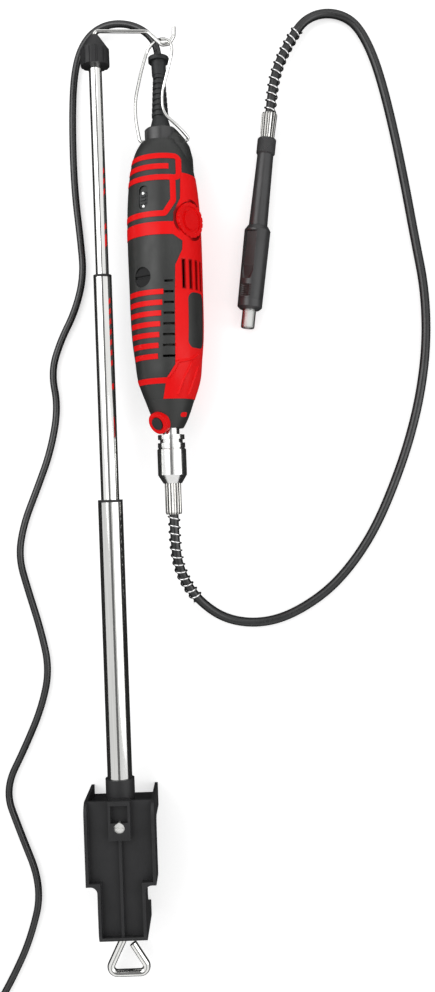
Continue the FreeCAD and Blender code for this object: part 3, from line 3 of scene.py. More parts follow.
import bpy
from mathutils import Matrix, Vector


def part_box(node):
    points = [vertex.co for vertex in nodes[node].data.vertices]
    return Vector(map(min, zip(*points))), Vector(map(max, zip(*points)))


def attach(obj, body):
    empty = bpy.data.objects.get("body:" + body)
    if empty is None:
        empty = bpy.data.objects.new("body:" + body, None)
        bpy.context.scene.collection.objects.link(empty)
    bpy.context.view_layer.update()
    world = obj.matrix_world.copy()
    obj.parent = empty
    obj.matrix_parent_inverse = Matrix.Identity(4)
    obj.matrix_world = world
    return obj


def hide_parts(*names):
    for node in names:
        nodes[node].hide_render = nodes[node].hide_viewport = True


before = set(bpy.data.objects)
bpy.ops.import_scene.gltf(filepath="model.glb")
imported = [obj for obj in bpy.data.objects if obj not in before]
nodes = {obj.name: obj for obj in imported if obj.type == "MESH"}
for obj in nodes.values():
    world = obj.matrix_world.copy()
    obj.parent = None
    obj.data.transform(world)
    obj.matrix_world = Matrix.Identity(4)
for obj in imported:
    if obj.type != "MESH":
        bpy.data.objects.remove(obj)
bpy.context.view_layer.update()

# The tool's axis, and the handpiece's low end and its turn in the plane of the floor
TOOL_X = -0.008
TOOL_Z = 0.0286
HAND = (0.0545, 0.1386, 0.0106)
HAND_TURN = math.radians(-7.9)


# Camera: above the set and rolled by two degrees

CAMERA_PLACE = (0.0262, 0.0070, 0.9)
CAMERA_ROLL = math.radians(-2.0)
HALF_HEIGHT = 496 / 1125    # half the picture's height over its distance


def make_camera():
    lens = bpy.data.cameras.new("photo_camera")
    camera = bpy.data.objects.new("photo_camera", lens)
    bpy.context.scene.collection.objects.link(camera)
    camera.location = CAMERA_PLACE
    camera.rotation_euler = (0, 0, CAMERA_ROLL)
    lens.sensor_fit = "VERTICAL"
    lens.angle = 2 * math.atan(HALF_HEIGHT)
    lens.clip_start = 0.05
    lens.clip_end = 20
    bpy.context.scene.camera = camera


make_camera()


# Cords: the routes in metres, by the same points as the solids

SHEATH_ROUTE = [
    (-0.0080, -0.0060, 0.0286),
    (-0.0080, -0.0240, 0.0286),
    (-0.0066, -0.0430, 0.0258),
    (-0.0005, -0.0610, 0.0190),
    (0.0105, -0.0765, 0.0120),
    (0.0270, -0.0895, 0.0066),
    (0.0475, -0.0950, 0.0042),
    (0.0690, -0.0935, 0.0039),
    (0.0905, -0.0850, 0.0038),
    (0.1140, -0.0695, 0.0039),
    (0.1345, -0.0475, 0.0038),
    (0.1520, -0.0210, 0.0039),
    (0.1670, 0.0110, 0.0038),
    (0.1805, 0.0460, 0.0039),
    (0.1910, 0.0840, 0.0038),
    (0.1970, 0.1240, 0.0039),
    (0.1970, 0.1660, 0.0038),
    (0.1905, 0.2060, 0.0039),
    (0.1840, 0.2500, 0.0038),
    (0.1765, 0.2940, 0.0039),
    (0.1680, 0.3340, 0.0038),
    (0.1600, 0.3594, 0.0039),
    (0.1504, 0.3773, 0.0040),
    (0.1402, 0.3852, 0.0043),
    (0.1275, 0.3882, 0.0049),
    (0.1148, 0.3857, 0.0059),
    (0.1043, 0.3781, 0.0071),
    (0.0920, 0.3585, 0.0092),
    (0.0848, 0.3430, 0.0103),
    (0.0807, 0.3273, 0.0106),
    (0.0779, 0.3075, 0.0106),
]

CORD_ROUTE = [
    (-0.0080, 0.3437, 0.0232),
    (-0.0080, 0.3555, 0.0220),
    (-0.0126, 0.3667, 0.0208),
    (-0.0218, 0.3754, 0.0189),
    (-0.0342, 0.3808, 0.0156),
    (-0.0480, 0.3820, 0.0116),
    (-0.0606, 0.3774, 0.0078),
    (-0.0696, 0.3670, 0.0052),
    (-0.0750, 0.3520, 0.0036),
    (-0.0780, 0.3300, 0.0030),
    (-0.0794, 0.2920, 0.0031),
    (-0.0790, 0.2520, 0.0030),
    (-0.0758, 0.2150, 0.0031),
    (-0.0742, 0.1860, 0.0030),
    (-0.0820, 0.1580, 0.0031),
    (-0.0950, 0.1340, 0.0030),
    (-0.1028, 0.1100, 0.0031),
    (-0.0982, 0.0820, 0.0030),
    (-0.1055, 0.0470, 0.0031),
    (-0.1180, 0.0160, 0.0030),
    (-0.1290, -0.0100, 0.0031),
    (-0.1340, -0.0360, 0.0030),
    (-0.1275, -0.0620, 0.0031),
    (-0.1185, -0.0940, 0.0030),
    (-0.1124, -0.1260, 0.0031),
    (-0.1195, -0.1560, 0.0030),
    (-0.1335, -0.1870, 0.0031),
    (-0.1515, -0.2210, 0.0030),
    (-0.1410, -0.2530, 0.0031),
    (-0.1240, -0.3000, 0.0030),
    (-0.1350, -0.3410, 0.0031),
    (-0.1510, -0.3730, 0.0030),
    (-0.1640, -0.3940, 0.0033),
]

CORD_RADIUS = 0.0028
SHEATH_RADIUS = 0.0036
COIL_CENTRE = (-0.133, -0.438)
COIL_LOW = 0.0044
COIL_INNER = 0.025
COIL_STEP = 0.0072
COIL_RISE = 0.0065
COIL_TURNS = 4
COIL_IN = 2         # turns that lead in at the low level
COIL_CLIMB = 0.5    # the part of a turn over which it climbs
TURN_POINTS = 16

# From the coil to the plug: how far on along -Y and how far down
COIL_EXIT = [(0.012, 0.0), (0.024, 0.0004), (0.038, 0.0018), (0.050, 0.0029), (0.0577, 0.0030)]


def round_out(points):
    """How much wider the points of a turn lie than the smooth line through them."""
    return 1 / math.cos(math.pi / points) ** 0.5


def coil_points():
    """The coil's own points: in over two turns, half a turn up, and out again to the plug."""
    spots = []
    for index in range(COIL_TURNS * TURN_POINTS + 1):
        turns = index / TURN_POINTS
        if turns <= COIL_IN:
            radius = COIL_INNER + COIL_STEP * (COIL_IN - turns)
            height = 0.0
        elif turns <= COIL_IN + COIL_CLIMB:
            radius = COIL_INNER
            share = (turns - COIL_IN) / COIL_CLIMB
            height = COIL_RISE * share * share * (3 - 2 * share)
        else:
            radius = COIL_INNER + COIL_STEP * (turns - COIL_IN - COIL_CLIMB)
            height = COIL_RISE
        angle = math.pi + 2 * math.pi * turns
        radius *= round_out(TURN_POINTS)
        spots.append((
            COIL_CENTRE[0] + radius * math.cos(angle),
            COIL_CENTRE[1] + radius * math.sin(angle),
            COIL_LOW + height,
        ))
    last = spots[-1]
    for away, drop in COIL_EXIT:
        spots.append((last[0], last[1] - away, last[2] - drop))
    return spots[1:]


def smooth_curve(name, points, radius, sides=6):
    """A round wire or cord; each point carries its radius in metres, for a bevel of depth 1."""
    curve = bpy.data.curves.new(name, "CURVE")
    curve.dimensions = "3D"
    curve.bevel_depth = 1.0
    curve.bevel_resolution = sides
    curve.resolution_u = 10
    curve.use_fill_caps = True
    add_spline(curve, points, radius)
    cord = bpy.data.objects.new(name, curve)
    bpy.context.scene.collection.objects.link(cord)
    return cord


def add_spline(curve, points, radius):
    spline = curve.splines.new("NURBS")
    spline.points.add(len(points) - 1)
    for spot, point in zip(points, spline.points):
        point.co = (*spot, 1.0)
        point.radius = radius
    spline.order_u = 3
    spline.use_endpoint_u = True


def centre_line(cord):
    """The points of a cord's own smooth line."""
    plain = cord.data.copy()
    plain.bevel_depth = 0
    holder = bpy.data.objects.new(cord.name + "_line", plain)
    bpy.context.scene.collection.objects.link(holder)
    graph = bpy.context.evaluated_depsgraph_get()
    mesh = bpy.data.meshes.new_from_object(holder.evaluated_get(graph))
    spots = [vertex.co.copy() for vertex in mesh.vertices]
    bpy.data.objects.remove(holder)
    bpy.data.meshes.remove(mesh)
    return spots


def along(spots, distance):
    """The place and the way of a line at a distance from its start."""
    for first, second in zip(spots, spots[1:]):
        step = (second - first).length
        if distance <= step or second is spots[-1]:
            return first.lerp(second, distance / step), (second - first).normalized()
        distance -= step


SPRING_WIRE = 0.00065
SPRING_PITCH = 0.006
SPRING_TURNS = 12
SPRING_POINTS = 14
SPRING_START = 0.0015
SPRING_GAP = 0.0001


def spring(name, spots, node):
    """A wire wound round the sheath from near the start of its line."""
    reach = (SHEATH_RADIUS + SPRING_WIRE + SPRING_GAP) * round_out(SPRING_POINTS)
    coils = []
    for index in range(SPRING_TURNS * SPRING_POINTS + 1):
        turns = index / SPRING_POINTS
        spot, way = along(spots, SPRING_START + SPRING_PITCH * turns)
        side = way.cross(Vector((0, 0, 1))).normalized()
        over = side.cross(way)
        angle = 2 * math.pi * turns
        coils.append(spot + side * (reach * math.cos(angle)) + over * (reach * math.sin(angle)))
    wire = smooth_curve(name, coils, SPRING_WIRE, 4)
    wire.data.resolution_u = 4
    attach(wire, "tool")
    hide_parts(node)
    return wire


mains = smooth_curve("mains_lead", CORD_ROUTE + coil_points(), CORD_RADIUS)
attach(mains, "tool")
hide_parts("mains_cord", "cord_coil")

sheath = smooth_curve("shaft_sheath", SHEATH_ROUTE, SHEATH_RADIUS)
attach(sheath, "tool")
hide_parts("flex_sheath")

mains_line = centre_line(mains)
sheath_line = centre_line(sheath)
springs = [
    spring("near_spring", sheath_line, "tool_spring"),
    spring("far_spring", sheath_line[::-1], "hand_spring"),
]


# Nodes that materials are made of

def new_material(name, colour, roughness, metallic=0.0, specular=0.5):
    material = bpy.data.materials.new(name)
    material.use_nodes = True
    shader = material.node_tree.nodes["Principled BSDF"]
    shader.inputs["Base Color"].default_value = (*colour, 1.0)
    shader.inputs["Roughness"].default_value = roughness
    shader.inputs["Metallic"].default_value = metallic
    shader.inputs["Specular IOR Level"].default_value = specular
    return material, material.node_tree, shader


def coordinates(tree, origin=(0, 0, 0), turn=0.0, lean=0.0):
    """Places in metres from an origin, turned about the vertical and leaning about Y."""
    place = tree.nodes.new("ShaderNodeTexCoord")
    mapping = tree.nodes.new("ShaderNodeMapping")
    mapping.vector_type = "TEXTURE"
    mapping.inputs["Location"].default_value = origin
    mapping.inputs["Rotation"].default_value = (0, lean, turn)
    tree.links.new(place.outputs["Object"], mapping.inputs["Vector"])
    split = tree.nodes.new("ShaderNodeSeparateXYZ")
    tree.links.new(mapping.outputs["Vector"], split.inputs["Vector"])
    return split.outputs["X"], split.outputs["Y"], split.outputs["Z"]


def noise(tree, scale, detail=2.0, stretch=(1, 1, 1)):
    place = tree.nodes.new("ShaderNodeTexCoord")
    mapping = tree.nodes.new("ShaderNodeMapping")
    mapping.inputs["Scale"].default_value = stretch
    tree.links.new(place.outputs["Object"], mapping.inputs["Vector"])
    texture = tree.nodes.new("ShaderNodeTexNoise")
    texture.inputs["Scale"].default_value = scale
    texture.inputs["Detail"].default_value = detail
    tree.links.new(mapping.outputs["Vector"], texture.inputs["Vector"])
    return texture.outputs["Fac"]


def maths(tree, operation, *values):
    node = tree.nodes.new("ShaderNodeMath")
    node.operation = operation
    for socket, value in zip(node.inputs, values):
        if isinstance(value, (int, float)):
            socket.default_value = value
        else:
            tree.links.new(value, socket)
    return node.outputs["Value"]


def spread(tree, value, low, high, start=0.3, end=0.7):
    """The value moved from start..end to low..high, and held there beyond."""
    node = tree.nodes.new("ShaderNodeMapRange")
    node.inputs["From Min"].default_value = start
    node.inputs["From Max"].default_value = end
    node.inputs["To Min"].default_value = low
    node.inputs["To Max"].default_value = high
    tree.links.new(value, node.inputs["Value"])
    return node.outputs["Result"]


def tint(tree, share, first, second):
    """A colour between two, each a plain colour or the outcome of another node."""
    node = tree.nodes.new("ShaderNodeMix")
    node.data_type = "RGBA"
    for name, colour in (("A", first), ("B", second)):
        socket = [s for s in node.inputs if s.name == name and s.type == "RGBA"][0]
        if isinstance(colour, tuple):
            socket.default_value = (*colour, 1)
        else:
            tree.links.new(colour, socket)
    tree.links.new(share, node.inputs["Factor"])
    return [s for s in node.outputs if s.type == "RGBA"][0]


BEVEL_SAMPLES = 4


def soft_edges(tree, radius):
    """Edges rounded by a radius, and how much of an edge a place is."""
    round_off = tree.nodes.new("ShaderNodeBevel")
    round_off.samples = BEVEL_SAMPLES
    round_off.inputs["Radius"].default_value = radius
    flat = tree.nodes.new("ShaderNodeNewGeometry")
    dot = tree.nodes.new("ShaderNodeVectorMath")
    dot.operation = "DOT_PRODUCT"
    tree.links.new(round_off.outputs["Normal"], dot.inputs[0])
    tree.links.new(flat.outputs["Normal"], dot.inputs[1])
    edge = spread(tree, dot.outputs["Value"], 1.0, 0.0, 0.86, 0.985)
    return round_off.outputs["Normal"], edge


def relief(tree, shader, heights, normal=None):
    """Bumps one over the other: each a height, and how far it stands out in metres."""
    for height, distance in heights:
        node = tree.nodes.new("ShaderNodeBump")
        node.inputs["Strength"].default_value = 1.0
        node.inputs["Distance"].default_value = distance
        tree.links.new(height, node.inputs["Height"])
        if normal:
            tree.links.new(normal, node.inputs["Normal"])
        normal = node.outputs["Normal"]
    tree.links.new(normal, shader.inputs["Normal"])


def flutes(tree, origin, turn, count, slant=0.0):
    """Ridges round an axis along local Y: straight, or crossed where there is a slant per metre."""
    x, y, z = coordinates(tree, origin, turn)
    angle = maths(tree, "MULTIPLY", maths(tree, "ARCTAN2", z, x), count)
    if not slant:
        return maths(tree, "SINE", angle)
    lean = maths(tree, "MULTIPLY", y, slant)
    first = maths(tree, "SINE", maths(tree, "ADD", angle, lean))
    second = maths(tree, "SINE", maths(tree, "SUBTRACT", angle, lean))
    return maths(tree, "MINIMUM", first, second)


THREAD_RUNOUT = 0.0005


def thread(tree, pitch, end=None):
    """Ridges along Y, level past the end on the low side."""
    y = coordinates(tree)[1]
    ridges = maths(tree, "SINE", maths(tree, "MULTIPLY", y, 2 * math.pi / pitch))
    if end is None:
        return ridges
    return maths(tree, "MAXIMUM", ridges, spread(tree, y, 1.0, -1.0, end - THREAD_RUNOUT, end))


def band(tree, value, low, high, soft):
    """1 between low and high, fading out over a soft width."""
    rise = spread(tree, value, 0.0, 1.0, low - soft, low)
    fall = spread(tree, value, 1.0, 0.0, high, high + soft)
    return maths(tree, "MINIMUM", rise, fall)


def hypotenuse(tree, first, second):
    squares = [maths(tree, "MULTIPLY", value, value) for value in (first, second)]
    return maths(tree, "SQRT", maths(tree, "ADD", *squares))


# The dial's axis crosses the tool's here and leans by this angle; its dish has a ring of arcs of
# painted shade
DIAL_CENTRE = (TOOL_X, 0.2168, TOOL_Z)
DIAL_LEAN = math.radians(50)
DISH_RING = (0.0139, 0.0155)
DISH_ARCS = 3
DISH_HEIGHTS = (0.008, 0.010)


def dial_shade(tree):
    """Painted shade: three dark arcs in the dish that the dial sits in, which the bump also lowers."""
    x, y, z = coordinates(tree, DIAL_CENTRE, 0.0, DIAL_LEAN)
    ring = band(tree, hypotenuse(tree, x, y), *DISH_RING, 0.0004)
    angle = maths(tree, "SUBTRACT", maths(tree, "ARCTAN2", y, x), math.pi)
    turns = maths(tree, "MULTIPLY", angle, DISH_ARCS)
    arcs = spread(tree, maths(tree, "COSINE", turns), 0.0, 1.0, -0.7, 0.1)
    near = spread(tree, z, 0.0, 1.0, *DISH_HEIGHTS)
    return maths(tree, "MULTIPLY", maths(tree, "MULTIPLY", ring, arcs), near)


# The panel's vents, as angles round the tool's axis and stations along it
VENT_FIRST = math.radians(20)
VENTS_IN_CIRCLE = 360 / 13
VENT_ANGLES = (math.radians(15.5), math.radians(63))
VENT_STATIONS = (0.1640, 0.1866)
VENT_SHADE_AND_DEPTH = 0.6


def vent_shade(tree):
    """Painted shade in strips along the panel's four vents, which the bump also dishes."""
    x, y, z = coordinates(tree, (TOOL_X, 0, TOOL_Z))
    angle = maths(tree, "ARCTAN2", z, x)
    turns = maths(tree, "MULTIPLY", maths(tree, "SUBTRACT", angle, VENT_FIRST), VENTS_IN_CIRCLE)
    strips = spread(tree, maths(tree, "COSINE", turns), 0.0, 1.0, -0.45, -0.15)
    wide = band(tree, angle, *VENT_ANGLES, 0.01)
    long = band(tree, y, *VENT_STATIONS, 0.0006)
    return maths(tree, "MULTIPLY", maths(tree, "MULTIPLY", strips, wide), long)


# Painted shade of the dial's dish and of the vents, whichever is darker
def panel_shade(tree):
    vents = maths(tree, "MULTIPLY", vent_shade(tree), VENT_SHADE_AND_DEPTH)
    return maths(tree, "MAXIMUM", dial_shade(tree), vents)


# The thumb rest's floor lies nearer the handpiece's axis than the grip round it, and is darkened with
# painted shade
REST_RADII = (0.0094, 0.0100)
REST_STATIONS = (0.0225, 0.0762)


def rest_shade(tree):
    """Painted shade on the floor of the thumb rest on the grip."""
    x, y, z = coordinates(tree, HAND, HAND_TURN)
    deep = spread(tree, hypotenuse(tree, x, z), 1.0, 0.0, *REST_RADII)
    return maths(tree, "MULTIPLY", deep, band(tree, y, *REST_STATIONS, 0.0003))


SEAM_HALF = 0.00022


def seam(tree, level):
    """1 in the thin line at one height, 0 elsewhere."""
    z = coordinates(tree, (0, 0, level))[2]
    return spread(tree, maths(tree, "ABSOLUTE", z), 1.0, 0.0, SEAM_HALF * 0.6, SEAM_HALF)


# Materials

SEAM_SHADE = 0.25
SEAM_DEPTH = 0.0002
# How dark painted shade makes a lowered part, and how deep its bump lowers it
SUNK_SHADE = 0.24
SUNK_DEPTH = 0.0003
FORM_DEPTH = 0.00002

# Noise scales per metre: patches of colour, rubbed edges, form and gloss
COLOUR_NOISE = 38.0
EDGE_NOISE = 420.0
FORM_NOISE = 240.0
GLOSS_NOISE = 130.0


def moulded(name, colour, roughness, grain=2600.0, depth=0.000025, wear_and_highlight=1.3, specular=0.28,
            edge=0.0004, joint=None, sunk_and_shaded=None):
    """Moulded plastic: fine grain, uneven gloss and colour, edges lightened by wear and a painted
    highlight, and a seam or a lowered part darkened with painted shade.
    """
    material, tree, shader = new_material(name, colour, roughness, specular=specular)
    normal, edges = soft_edges(tree, edge)
    lighter = tuple(min(1.0, part * wear_and_highlight + 0.002) for part in colour)
    # Edges lightened for wear and as a painted edge highlight
    rubbed_and_highlit = tuple(min(1.0, part * (wear_and_highlight + 0.5) + 0.006) for part in colour)
    patches = spread(tree, noise(tree, COLOUR_NOISE, 3.0), 0.0, 1.0)
    shade = tint(tree, patches, colour, lighter)
    patchy = maths(tree, "MULTIPLY", edges, spread(tree, noise(tree, EDGE_NOISE, 3.0), 0.35, 1.0))
    shade = tint(tree, patchy, shade, rubbed_and_highlit)
    heights = [(noise(tree, grain, 2.0), depth), (noise(tree, FORM_NOISE, 2.0), FORM_DEPTH)]
    if joint is not None:
        line = seam(tree, joint)
        shade = tint(tree, line, shade, tuple(part * SEAM_SHADE for part in colour))
        heights.append((maths(tree, "SUBTRACT", 1.0, line), SEAM_DEPTH))
    # A lowered part: painted shade in its colour, and a bump that lowers it
    if sunk_and_shaded:
        low = sunk_and_shaded(tree)
        shade = tint(tree, low, shade, tuple(part * SUNK_SHADE for part in colour))
        heights.append((maths(tree, "SUBTRACT", 1.0, low), SUNK_DEPTH))
    tree.links.new(shade, shader.inputs["Base Color"])
    gloss = spread(tree, noise(tree, GLOSS_NOISE, 3.0), roughness * 0.86, min(1.0, roughness * 1.16))
    gloss = maths(tree, "SUBTRACT", gloss, maths(tree, "MULTIPLY", edges, 0.06))
    tree.links.new(gloss, shader.inputs["Roughness"])
    relief(tree, shader, heights, normal)
    return material


def jacket(name, colour, roughness, specular):
    """A rubber skin, faintly uneven in colour, gloss and height."""
    material, tree, shader = new_material(name, colour, roughness, specular=specular)
    lighter = tuple(part * 1.6 + 0.003 for part in colour)
    shade = tint(tree, spread(tree, noise(tree, 90.0, 4.0), 0.0, 1.0), colour, lighter)
    gloss = spread(tree, noise(tree, 260.0, 3.0), roughness * 0.8, roughness * 1.2)
    tree.links.new(shade, shader.inputs["Base Color"])
    tree.links.new(gloss, shader.inputs["Roughness"])
    relief(tree, shader, [(noise(tree, 1500.0, 3.0), 0.00003), (noise(tree, 160.0, 2.0), 0.00005)])
    return material


METAL_EDGE = 0.0002


def bright(name, colour, roughness, streak=(1, 1, 1), scale=500.0, depth=0.000004, cut=None,
           stand=0.0002, valley_shade=(-0.9, 0.2)):
    """Plated or turned metal with fine marks drawn out along one way, and any flutes or thread, their
    valleys darkened with painted shade.
    """
    material, tree, shader = new_material(name, colour, roughness, metallic=1.0)
    normal = soft_edges(tree, METAL_EDGE)[0]
    marks = noise(tree, scale, 3.0, streak)
    darker = tuple(part * 0.88 for part in colour)
    shade = tint(tree, spread(tree, marks, 0.0, 1.0), darker, colour)
    rough = spread(tree, noise(tree, 60.0, 3.0), roughness * 0.8, roughness * 1.3)
    heights = [(marks, depth)]
    if cut:
        ridges = cut(tree)
        # Painted shade in the valleys of the flutes or thread
        low = spread(tree, ridges, 0.0, 1.0, *valley_shade)
        shade = tint(tree, low, tuple(part * 0.35 for part in colour), shade)
        heights.append((ridges, stand))
    tree.links.new(shade, shader.inputs["Base Color"])
    tree.links.new(rough, shader.inputs["Roughness"])
    relief(tree, shader, heights, normal)
    return material


# How far from the pins' tips the bright metal ends and their black sleeves begin
PIN_METAL = 0.0095
PIN_SLEEVE = 0.0097


def plug_material():
    """Moulded body and pin sleeves, with the pins' tips bright."""
    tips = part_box("mains_plug")[0][1]
    material, tree, shader = new_material("plug_moulding", (0.026, 0.027, 0.028), 0.45, specular=0.3)
    normal, edges = soft_edges(tree, 0.0005)
    metal = spread(tree, coordinates(tree)[1], 1.0, 0.0, tips + PIN_METAL, tips + PIN_SLEEVE)
    patches = spread(tree, noise(tree, 45.0, 3.0), 0.0, 1.0)
    body = tint(tree, patches, (0.024, 0.025, 0.026), (0.036, 0.037, 0.038))
    # Edges lighter: wear and a painted edge highlight
    body = tint(tree, edges, body, (0.06, 0.06, 0.062))
    tree.links.new(tint(tree, metal, body, (0.78, 0.76, 0.70)), shader.inputs["Base Color"])
    tree.links.new(metal, shader.inputs["Metallic"])
    tree.links.new(spread(tree, metal, 0.45, 0.2, 0.0, 1.0), shader.inputs["Roughness"])
    relief(tree, shader, [(noise(tree, 2000.0, 2.0), 0.00003)], normal)
    return material


DRAWN = (1, 0.03, 1)    # noise stretched along Y
SCREW_PITCH = 0.001
SCREW_END = -0.331    # the thread's low end, where the plain handle begins
CHROME = (0.84, 0.84, 0.82)
FERRULE = (0.80, 0.79, 0.76)
GRIP_GREY = (0.034, 0.034, 0.035)
BLACK_LOOK = dict(colour=(0.022, 0.023, 0.022), roughness=0.42, wear_and_highlight=1.35, specular=0.42)
RED_LOOK = dict(colour=(0.88, 0.0030, 0.0040), roughness=0.34, grain=3200.0, depth=0.000012, wear_and_highlight=1.06,
                specular=0.16, edge=0.0006)

BLACK = moulded("housing_black", **BLACK_LOOK)
SHELL = moulded("housing_shell", joint=TOOL_Z, **BLACK_LOOK)
RED = moulded("overmould_red", **RED_LOOK)
PANEL = moulded("panel_red", sunk_and_shaded=panel_shade, **RED_LOOK)
DARK = moulded("trim_dark", (0.020, 0.021, 0.022), 0.40, specular=0.35)
CAP = moulded("brush_cap_dark", (0.006, 0.006, 0.0065), 0.34, specular=0.25)
GRIP = moulded("grip_satin", GRIP_GREY, 0.34, specular=0.55)
REST = moulded("grip_rest_shaded", GRIP_GREY, 0.34, specular=0.50, sunk_and_shaded=rest_shade)
ZINC = bright("screw_zinc", (0.88, 0.88, 0.86), 0.42, scale=1200.0)
BOOT = moulded("boot_rubber", (0.019, 0.020, 0.021), 0.46, grain=1800.0, specular=0.36)
CLAMP = moulded("clamp_black", (0.019, 0.019, 0.020), 0.46, grain=2000.0, depth=0.00004, specular=0.32)
CORD = jacket("cord_jacket", (0.012, 0.0125, 0.013), 0.26, specular=0.6)
SHEATH = jacket("sheath_jacket", (0.013, 0.0135, 0.014), 0.30, specular=0.5)
FAN = moulded("fan_grey", (0.09, 0.09, 0.088), 0.5)
CARBON = moulded("brush_carbon", (0.02, 0.02, 0.02), 0.65)
TIE = bright("tie_ribbed", (0.020, 0.020, 0.021), 0.45, cut=lambda tree: thread(tree, 0.0014))
TUBE = bright("tube_chrome", (0.86, 0.86, 0.84), 0.055, streak=DRAWN, scale=700.0, depth=0.000002)
SATIN = bright("tube_satin", (0.66, 0.66, 0.645), 0.09, streak=DRAWN, scale=700.0, depth=0.000003)
WIRE = bright("wire_chrome", CHROME, 0.10, scale=900.0)
SCREW = bright("screw_chrome", CHROME, 0.11, scale=900.0,
               cut=lambda tree: thread(tree, SCREW_PITCH, SCREW_END), stand=0.00012)
STEEL = bright("turned_steel", (0.80, 0.80, 0.79), 0.16, streak=(0.2, 1, 0.2), scale=2500.0)
KNURL = bright("knurled_steel", (0.90, 0.90, 0.88), 0.22, stand=0.00012, valley_shade=(-1.0, -0.35),
               cut=lambda tree: flutes(tree, HAND, HAND_TURN, 14, 2800.0))
HAND_FLUTES = bright("fluted_far", FERRULE, 0.2,
                     cut=lambda tree: flutes(tree, HAND, HAND_TURN, 16), stand=0.00035)
TOOL_FLUTES = bright("fluted_near", FERRULE, 0.2,
                     cut=lambda tree: flutes(tree, (TOOL_X, 0, TOOL_Z), 0.0, 16), stand=0.00035)
SPRING = bright("spring_steel", (0.80, 0.80, 0.80), 0.18, scale=1500.0)
IRON = bright("laminated_iron", (0.07, 0.068, 0.065), 0.5, streak=(0.1, 1, 0.1), scale=3000.0)


def knurled_plastic():
    """The grip's plastic with crossed ridges."""
    material = GRIP.copy()
    material.name = "knurled_dark"
    tree = material.node_tree
    shader = tree.nodes["Principled BSDF"]
    normal = shader.inputs["Normal"].links[0].from_socket
    relief(tree, shader, [(flutes(tree, HAND, HAND_TURN, 22, 3600.0), 0.0002)], normal)
    return material


FINISHES = [
    (SHELL, ["front_shell", "back_shell"]),
    (BLACK, ["nose_cone", "switch_plate", "black_plate"]),
    (RED, ["grip_stripes", "speed_dial", "lock_ring"]),
    (PANEL, ["side_panel"]),
    (DARK, ["switch_slider", "lock_button"]),
    (CAP, ["front_brush_cap", "back_brush_cap"]),
    (GRIP, ["rear_collar", "hand_neck"]),
    (REST, ["hand_grip"]),
    (knurled_plastic(), ["hand_nut"]),
    (BOOT, ["cord_boot"]),
    (CLAMP, ["clamp_frame", "top_cap", "socket_sleeve", "lower_bush", "middle_bush", "middle_foot",
             "upper_foot"]),
    (TUBE, ["middle_tube", "upper_tube"]),
    (SATIN, ["lower_tube"]),
    (WIRE, ["hook_wire", "bail"]),
    (SCREW, ["clamp_screw"]),
    (ZINC, ["socket_screw", "screw_nut"]),
    (STEEL, ["pressure_pad", "coupling_nut", "collet", "hand_spindle",
             "rear_bearing", "front_bearing", "hand_front_bearing", "hand_rear_bearing"]),
    (KNURL, ["collet_nut"]),
    (HAND_FLUTES, ["hand_ferrule"]),
    (TOOL_FLUTES, ["tool_ferrule"]),
    (IRON, ["field_stator", "motor_rotor"]),
    (FAN, ["cooling_fan"]),
    (CARBON, ["front_brush", "back_brush"]),
    (TIE, ["coil_tie"]),
    (plug_material(), ["mains_plug"]),
]


def paint(thing, material):
    thing.data.materials.clear()
    thing.data.materials.append(material)


for finish, names in FINISHES:
    for name in names:
        paint(nodes[name], finish)
paint(mains, CORD)
paint(sheath, SHEATH)
for wire in springs:
    paint(wire, SPRING)


# Ridges moulded on the low end of the side panel, and the two bright studs in the switch

# The housing's outline: station along Y and radius
BARREL = [
    (0.0605, 0.0098), (0.0713, 0.0152), (0.0791, 0.0180), (0.0868, 0.0208), (0.0984, 0.0243),
    (0.1101, 0.0256), (0.1217, 0.0269), (0.1371, 0.0279), (0.1680, 0.0283),
]
RIDGE_RADIUS = 0.0012
RIDGE_LIFT = 0.0003

# Each ridge's points: how far from the tool's middle plane, and the station
RIDGES = [
    [(0.0005, 0.0975), (0.0040, 0.1020), (0.0070, 0.1062), (0.0080, 0.1100)],
    [(0.0072, 0.0850), (0.0098, 0.0920), (0.0130, 0.0990), (0.0165, 0.1050), (0.0178, 0.1085)],
    [(0.0148, 0.0850), (0.0175, 0.0920), (0.0203, 0.0990), (0.0225, 0.1060)],
    [(0.0068, 0.1092), (0.0110, 0.1098), (0.0160, 0.1108), (0.0205, 0.1128), (0.0238, 0.1160)],
]


def barrel_radius(station):
    for (low, first), (high, last) in zip(BARREL, BARREL[1:]):
        if station <= high:
            return first + (last - first) * (station - low) / (high - low)
    return BARREL[-1][1]


def on_barrel(across, station):
    radius = barrel_radius(station) + RIDGE_LIFT
    height = math.sqrt(radius * radius - across * across)
    return Vector((TOOL_X + across, station, TOOL_Z + height))


def make_ridges():
    ridges = smooth_curve("panel_ridges", [on_barrel(*spot) for spot in RIDGES[0]], RIDGE_RADIUS, 4)
    for ridge in RIDGES[1:]:
        add_spline(ridges.data, [on_barrel(*spot) for spot in ridge], RIDGE_RADIUS)
    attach(ridges, "tool")
    paint(ridges, RED)


LATHE_SIDES = 28
LATHE_LEAST = 0.00001    # the radius of a profile's point on the axis


